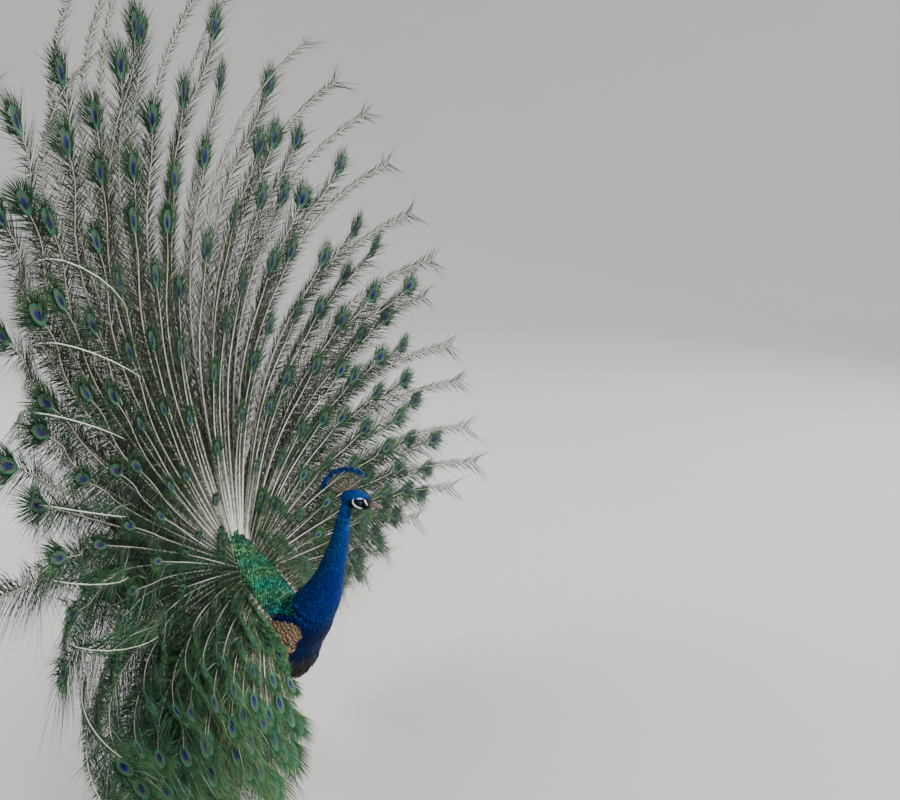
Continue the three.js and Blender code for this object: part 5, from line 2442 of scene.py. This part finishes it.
# ------------------------------------------------------------------------------ wings and tail
@dataclass
class Wing:
    """A folded wing: barred coverts over a core, and chestnut flight feathers below."""

    tools: Tools
    side: Side
    seed: int = 21
    buff: Triple = (0.36, 0.25, 0.14)
    brown: Triple = (0.17, 0.13, 0.10)
    chestnut: Triple = (0.21, 0.075, 0.026)

    def __post_init__(self) -> None:
        """Start the wing's own source of chance."""
        self.rng = np.random.default_rng(self.seed + self.side.value)

    def rows(self, blade: Sequence, along: Sequence[float], down: Sequence[float], size: tuple[float, float],
             lie_down: float, lift: float, hue: Triple, facing: int = 1) -> Cloud:
        """Set rows of feathers on one face of a lofted blade.

        Args:
            blade: The blade's rows in millimetres.
            along: Shares of its length.
            down: Shares of its height, from 1 at the top to -1.
            size: Width and length of a feather in millimetres.
            lie_down: How far the feathers turn down from the blade's own line.
            lift: How far their tips stand out, in degrees.
            hue: Their colour.
            facing: 1 for the outer face, -1 for the inner.

        Returns:
            The feathers.
        """
        steps = 60
        fine = smooth_rows(on_side(blade, self.side), steps)
        way = headings(fine[:, :3])
        cells = []
        for number, level in enumerate(down):
            for share in along:
                offset = (number % 2) * 0.5 * (along[1] - along[0])
                i = int(min(steps, max(0.0, steps * (share + offset))))
                high = square_to(way[i], UP)
                outward = unit(np.cross(high, way[i]))
                outward = outward * np.sign(outward[0] * self.side.value) * facing
                bulge = fine[i, 3] * math.sqrt(max(0.0, 1 - level * level))
                place = fine[i, :3] + high * fine[i, 4] * level + outward * bulge
                lie, face = swing(unit(way[i] - high * lie_down), outward, math.radians(lift))
                cells.append((*place, *lie, *face, 0.02 + 0.95 * share, 0.5 + 0.45 * level, 0))
        place, lie, face, seat = np.split(np.array(cells), 4, axis=1)
        scale = self.rng.uniform(0.9, 1.1, len(cells))
        tone = self.rng.random((len(cells), 3))
        sizes, bend = columns(size[0] * scale, size[1] * scale, 1.0) * MM, -face * size[1] * MM * 0.05
        hues = np.array(hue) * self.rng.uniform(0.8, 1.2, (len(cells), 1))
        return Cloud(place, lie, face, sizes, bend, seat, hues, tone)

    def build(self) -> list[Obj]:
        """Build the wing.

        Returns:
            Its core, coverts and flight feathers.
        """
        lesser, inner = (0.9, 0.62, 0.34, 0.06, -0.22), (0.8, 0.35, -0.1, -0.55)
        coverts = Cloud.together([
            self.rows(WING_ROWS, np.arange(0.0, 0.98, 0.045), lesser, (17, 30), 0.35, 9, self.buff),
            self.rows(WING_ROWS, np.arange(0.10, 0.98, 0.06), (-0.45, -0.72), (24, 62), 0.45, 7, self.buff),
            self.rows(WING_ROWS, np.arange(0.0, 0.98, 0.05), (1.0,), (16, 26), 0.1, 5, self.buff),
            self.rows(WING_ROWS, np.arange(0.06, 0.98, 0.09), inner, (30, 52), 0.4, 6, self.brown, -1),
        ])
        long = Cloud.together([self.rows(PRIMARY_ROWS, (0.0, 0.03), (0.85 - 0.23 * k,), (30, 186 + 11 * k),
                                         0.17 - 0.05 * k, 1.5 + 0.5 * k, self.chestnut) for k in range(7)])
        core = oval_tube(on_side(WING_ROWS, self.side), 30, 20, 1.2 * MM)
        return [solid(f"wing_core_{self.side}", core, self.tools.finishes["skin"], None, (0.10, 0.07, 0.045)),
                self.tools.plumes(coverts, f"wing_coverts_{self.side}", "vane", "covert", patch=0.02),
                self.tools.plumes(long, f"wing_primaries_{self.side}", "vane", "primary", patch=0.06)]


@dataclass
class TailFan:
    """The short stiff brown tail feathers that prop the train up from behind."""

    tools: Tools
    feathers: int = 20
    span: float = 74.0
    length: float = 400 * MM
    lean: float = -17.0
    width: float = 58 * MM
    seed: int = 31

    def build(self) -> Obj:
        """Build the fan.

        Returns:
            The fan.
        """
        rng = np.random.default_rng(self.seed)
        cells = []
        for i in range(self.feathers):
            t = 2 * (i + 0.5) / self.feathers - 1
            turn = math.radians(self.span * t)
            lean = math.radians(self.lean * math.cos(turn))
            level = math.cos(lean)
            way = np.array([math.sin(turn) * level, -math.sin(lean), math.cos(turn) * level])
            root = np.array([46 * t, 128 + 3 * (i % 2), 470 - 22 * t * t]) * MM
            face = square_to(way, FORWARD)
            face = unit(face + np.cross(way, face) * 0.10 * (1 if i % 2 else -1))
            cells.append((*root, *way, *face, 0.005 + 0.195 * (i % 5), 0.01 + 0.245 * (i // 5), 0))
        root, way, face, seat = np.split(np.array(cells), 4, axis=1)
        size = columns(self.width, self.length * rng.uniform(0.96, 1.0, self.feathers), 1.2 * MM)
        hue = np.array((0.13, 0.09, 0.06)) * rng.uniform(0.85, 1.15, (self.feathers, 1))
        cloud = Cloud(root, way, face, size, -face * 12 * MM, seat, hue, rng.random((self.feathers, 3)))
        return self.tools.plumes(cloud, "tail_vanes", "vane", "rectrix", patch=0.19)


# ------------------------------------------------------------------------------ legs
@dataclass(frozen=True)
class Toe:
    """One toe, in millimetres and degrees outwards."""

    turn: float
    length: float
    radius: float
    claw: float


@dataclass
class Leg:
    """A scaly shank with its spur, four toes and their claws."""

    tools: Tools
    side: Side
    ankle: tuple[float, float] = (76.0, 48.0)
    toes: tuple[Toe, ...] = (
        Toe(-26, 62, 5.4, 14), Toe(4, 80, 6.0, 15), Toe(34, 60, 5.4, 14), Toe(172, 30, 4.6, 11))
    joints: int = 3

    def scaled(self, rows: Sequence, steps: int, count: int, side: Array, pads: int,
               depth: float) -> tuple[Shape, Array]:
        """Loft a limb whose front carries overlapping scutes.

        Args:
            rows: Rows of x, y, z, half width and half depth.
            steps: Steps along it.
            count: Points round it.
            side: Direction of the width.
            pads: Count of scutes along it.
            depth: Height of a scute's edge.

        Returns:
            Points and faces, and pattern coordinates.
        """
        points, faces = oval_tube(rows, steps, count, 0.0, side)
        share = np.repeat(np.linspace(0, 1, steps + 1), count)
        turn = np.tile(np.arange(count) / count, steps + 1)
        centre = np.repeat(points[:-2].reshape(steps + 1, count, 3).mean(axis=1), count, axis=0)
        tooth = (share * pads) % 1.0 * depth * (0.4 + 0.6 * np.cos(2 * np.pi * (turn - 0.25)) ** 2)
        tooth = tooth * ease(share, 0, 0.03) * ease(share, 1, 0.97)
        points[:-2] += unit(points[:-2] - centre) * tooth[:, None]
        return (points, faces), np.vstack([columns(turn * 4, share, 0), (0, 0, 0), (0, 1, 0)])

    def horn(self, rows: Array, steps: int, side: Array = X_AXIS) -> tuple[Shape, Array]:
        """Loft a claw or spur.

        Args:
            rows: Rows of x, y, z, half width and half depth.
            steps: Steps along it.
            side: Direction of the width.

        Returns:
            Points and faces, and pattern coordinates.
        """
        along = np.append(np.repeat(np.linspace(0, 1, steps + 1), 12), (0, 1))
        return oval_tube(rows, steps, 12, 0.0, side), columns(0, along, 0)

    def toe(self, toe: Toe) -> tuple[tuple[Shape, Array], tuple[Shape, Array]]:
        """Make one toe with its pads, and its claw.

        Args:
            toe: The toe.

        Returns:
            The toe and the claw.
        """
        turn, radius = math.radians(toe.turn), toe.radius
        way = np.array([math.sin(turn) * self.side.value, -math.cos(turn), 0.0])
        across = np.cross(way, UP)
        start = np.array([self.ankle[0] * self.side.value, self.ankle[1], 0.0])

        def rows(*ovals: tuple[float, float, float]) -> Array:
            """Turn reach, height and half width, the last two in radii, into rows in space."""
            return np.array([(*(start + way * reach)[:2], high * radius, half * radius, half * radius * 0.92)
                             for reach, high, half in ovals]) * MM

        bone = toe.length / self.joints
        ovals = [(-4, 1, 1)]
        for k in range(1, self.joints + 1):
            slim = 1 - 0.10 * k
            ovals += [(bone * (k - 0.5), slim * 0.92, slim * 0.86),
                      (bone * k, slim * 0.94, slim * (0.95 if k < self.joints else 0.6))]
        pads = max(8, int(toe.length / 5))
        claw = rows((toe.length - 4, 0.80, 0.52), (toe.length + toe.claw * 0.3, 0.86, 0.44),
                    (toe.length + toe.claw * 0.7, 0.52, 0.26), (toe.length + toe.claw, 0.14, 0.06))
        return self.scaled(rows(*ovals), 60, 16, across, pads, 0.45 * MM), self.horn(claw, 14, across)

    def build(self) -> list[Obj]:
        """Build the leg.

        Returns:
            The scaled limb, and its claws and spur.
        """
        x, y = self.ankle
        hub = [(x, y, 1.5, 9, 9), (x, y, 8, 9.6, 9.6), (x, y + 1, 17, 7.6, 8.2), (x, y + 3, 26, 6.2, 6.8)]
        spur = [(70, 74, 84, 3.6, 3.6), (66, 82, 85, 2.8, 2.8), (60, 92, 88, 0.5, 0.5)]
        toes, claws = zip(*(self.toe(toe) for toe in self.toes))
        limbs = [self.scaled(on_side(SHANK_ROWS, self.side), 120, 20, X_AXIS, 24, 0.55 * MM),
                 self.scaled(on_side(hub, self.side), 16, 20, X_AXIS, 4, 0.4 * MM), *toes]
        made = []
        for name, finish, parts in (("leg", "leg", limbs),
                                    ("claws", "claw", [*claws, self.horn(on_side(spur, self.side), 12)])):
            points, faces = merged([shape for shape, _ in parts])
            points[:, 2] = np.maximum(points[:, 2], 0.0)
            leaf = np.vstack([own for _, own in parts])
            made.append(solid(f"{name}_{self.side}", (points, faces), self.tools.finishes[finish], leaf))
        return made


# ------------------------------------------------------------------------------ studio
def aimed(made: Obj, place: Sequence[float], way: Sequence[float]) -> None:
    """Stand a camera or a light at a place, looking along a direction."""
    made.location = place
    made.rotation_euler = Vector(way).to_track_quat("-Z", "Y").to_euler()


@dataclass(frozen=True)
class CameraRig:
    """Where the picture is taken from."""

    place: Triple = (-2.182, -1.318, 1.62)
    heading: float = 21.0
    pitch: float = 15.3
    lens: float = 44.0

    def build(self) -> None:
        """Make the camera."""
        data = bpy.data.cameras.new("camera")
        data.lens = self.lens
        data.sensor_width = 36.0
        data.clip_start = 0.05
        data.clip_end = 100
        level, down = math.radians(self.heading), math.radians(self.pitch)
        rig = linked("camera", data)
        aimed(rig, np.array(self.place) + HOME,
              (math.cos(level) * math.cos(down), math.sin(level) * math.cos(down), -math.sin(down)))
        bpy.context.scene.camera = rig


@dataclass(frozen=True)
class SoftBox:
    """One soft studio light aimed at the bird."""

    name: str
    place: Triple
    size: float
    power: float
    color: Triple = (1.0, 1.0, 1.0)
    aim: Triple = (0.0, 0.0, 0.7)

    def build(self) -> None:
        """Make the light."""
        data = bpy.data.lights.new(self.name, "AREA")
        data.shape = "SQUARE"
        data.size = self.size
        data.energy = self.power
        data.color = self.color
        aimed(linked(self.name, data), self.place, np.array(self.aim) - self.place)


@dataclass
class Studio:
    """A pale floor, a pale sky and soft lights."""

    tools: Tools
    sweep_start: float = 5.5
    sweep_radius: float = 3.8
    sky: Triple = (0.90, 0.92, 0.95)
    sky_strength: float = 1.0
    lights: tuple[SoftBox, ...] = (
        SoftBox("key", (-2.6, -3.4, 4.2), 2.4, 260.0, (1.0, 0.98, 0.94)),
        SoftBox("fill", (3.6, -2.4, 2.6), 3.0, 90.0, (0.93, 0.96, 1.0)),
        SoftBox("rear", (0.6, 3.6, 3.6), 2.6, 150.0),
    )

    def build(self) -> None:
        """Make the floor, which bends up into a wall all round, the sky and the lights."""
        rings, count = 24, 96
        bend, turn = np.linspace(0, np.pi / 2, rings)[:, None], around(count)
        out = self.sweep_start + self.sweep_radius * np.sin(bend)
        high = self.sweep_radius * (1 - np.cos(bend))
        points = columns(np.cos(turn) * out, np.sin(turn) * out, high).reshape(-1, 3)
        faces = grid_faces(rings, count, closed=True)
        faces += [[rings * count, j, (j + 1) % count] for j in range(count)]
        floor = solid("floor", (np.vstack([points, (0, 0, 0)]) - HOME, faces), self.tools.finishes["floor"])
        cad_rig.stage(floor)
        world = bpy.data.worlds.new("sky")
        world.use_nodes = True
        background = world.node_tree.nodes["Background"]
        background.inputs["Color"].default_value = (*self.sky, 1.0)
        background.inputs["Strength"].default_value = self.sky_strength
        bpy.context.scene.world = world
        for light in self.lights:
            light.build()


# ------------------------------------------------------------------------------ the whole bird
def keep(piece: Obj, slot: str, *nodes: str) -> None:
    """Say which slot a piece takes its finish from and which nodes it stands for.

    Args:
        piece: The piece.
        slot: The material slot.
        *nodes: The nodes.
    """
    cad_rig.ride(piece, "root")
    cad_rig.slot(piece, slot)
    if nodes:
        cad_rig.replaces(piece, *nodes)
    LOG.info("%s: %d faces", piece.name, len(piece.data.polygons))


def write_size() -> None:
    sizes = {"cad": [list(map(float, corner)) for corner in CAD_BOX],
             "visual": [list(map(float, corner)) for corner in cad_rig.bounds()]}
    with open("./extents.json", "w", encoding="utf-8") as out:
        json.dump(sizes, out)


def main() -> None:
    """Build the peacock."""
    logging.basicConfig(level=logging.INFO, format="%(name)s %(message)s")
    tools, markings = Tools(), Markings()
    CameraRig().build()
    Studio(tools).build()
    head = Head(tools)
    skin = Flesh(tools, markings).build()
    coats = ContourCoat(tools, markings, skin).build(head.is_bare)
    keep(skin, "body_plumage", "head", "neck_upper", "neck_lower", "back", "trunk", "thigh_left",
         "thigh_right", "undertail")
    slots = {"coat_face": "blue_plumage", "coat_neck": "blue_plumage", "coat_breast": "blue_plumage",
             "coat_back": "green_scales"}
    for coat in coats:
        keep(coat, slots.get(coat.name, "body_plumage"))
    surface = BVHTree.FromObject(skin, bpy.context.evaluated_depsgraph_get())
    for side in Side:
        keep(head.eyeball(side), "eye", f"eye_{side}")
        keep(head.lid(side), "blue_plumage")
        keep(head.bare_skin(side, surface), "blue_plumage")
    keep(head.bill_half(1), "horn", "bill_upper")
    keep(head.bill_half(-1), "horn", "bill_lower")
    tips, *shafts = Crest(tools).build()
    keep(tips, "blue_plumage", "crest")
    for piece in shafts:
        keep(piece, "blue_plumage")
    for side in Side:
        core, coverts, primaries = Wing(tools, side).build()
        keep(core, "barred_plumage", f"wing_{side}")
        keep(coverts, "barred_plumage")
        keep(primaries, "flight_feathers", f"primaries_{side}")
        leg, claws = Leg(tools, side).build()
        keep(leg, "leg_skin", f"shank_{side}", f"foot_{side}")
        keep(claws, "horn")
    keep(TailFan(tools).build(), "tail_feathers", "tail")
    first, *others = Train(tools).build()
    keep(first, "train_feathers", *(f"train_{side}_{k}" for side in Side for k in range(1, 9)))
    for piece in others:
        keep(piece, "train_feathers")
    tools.clear()
    write_size()


if __name__ == "__main__":
    main()
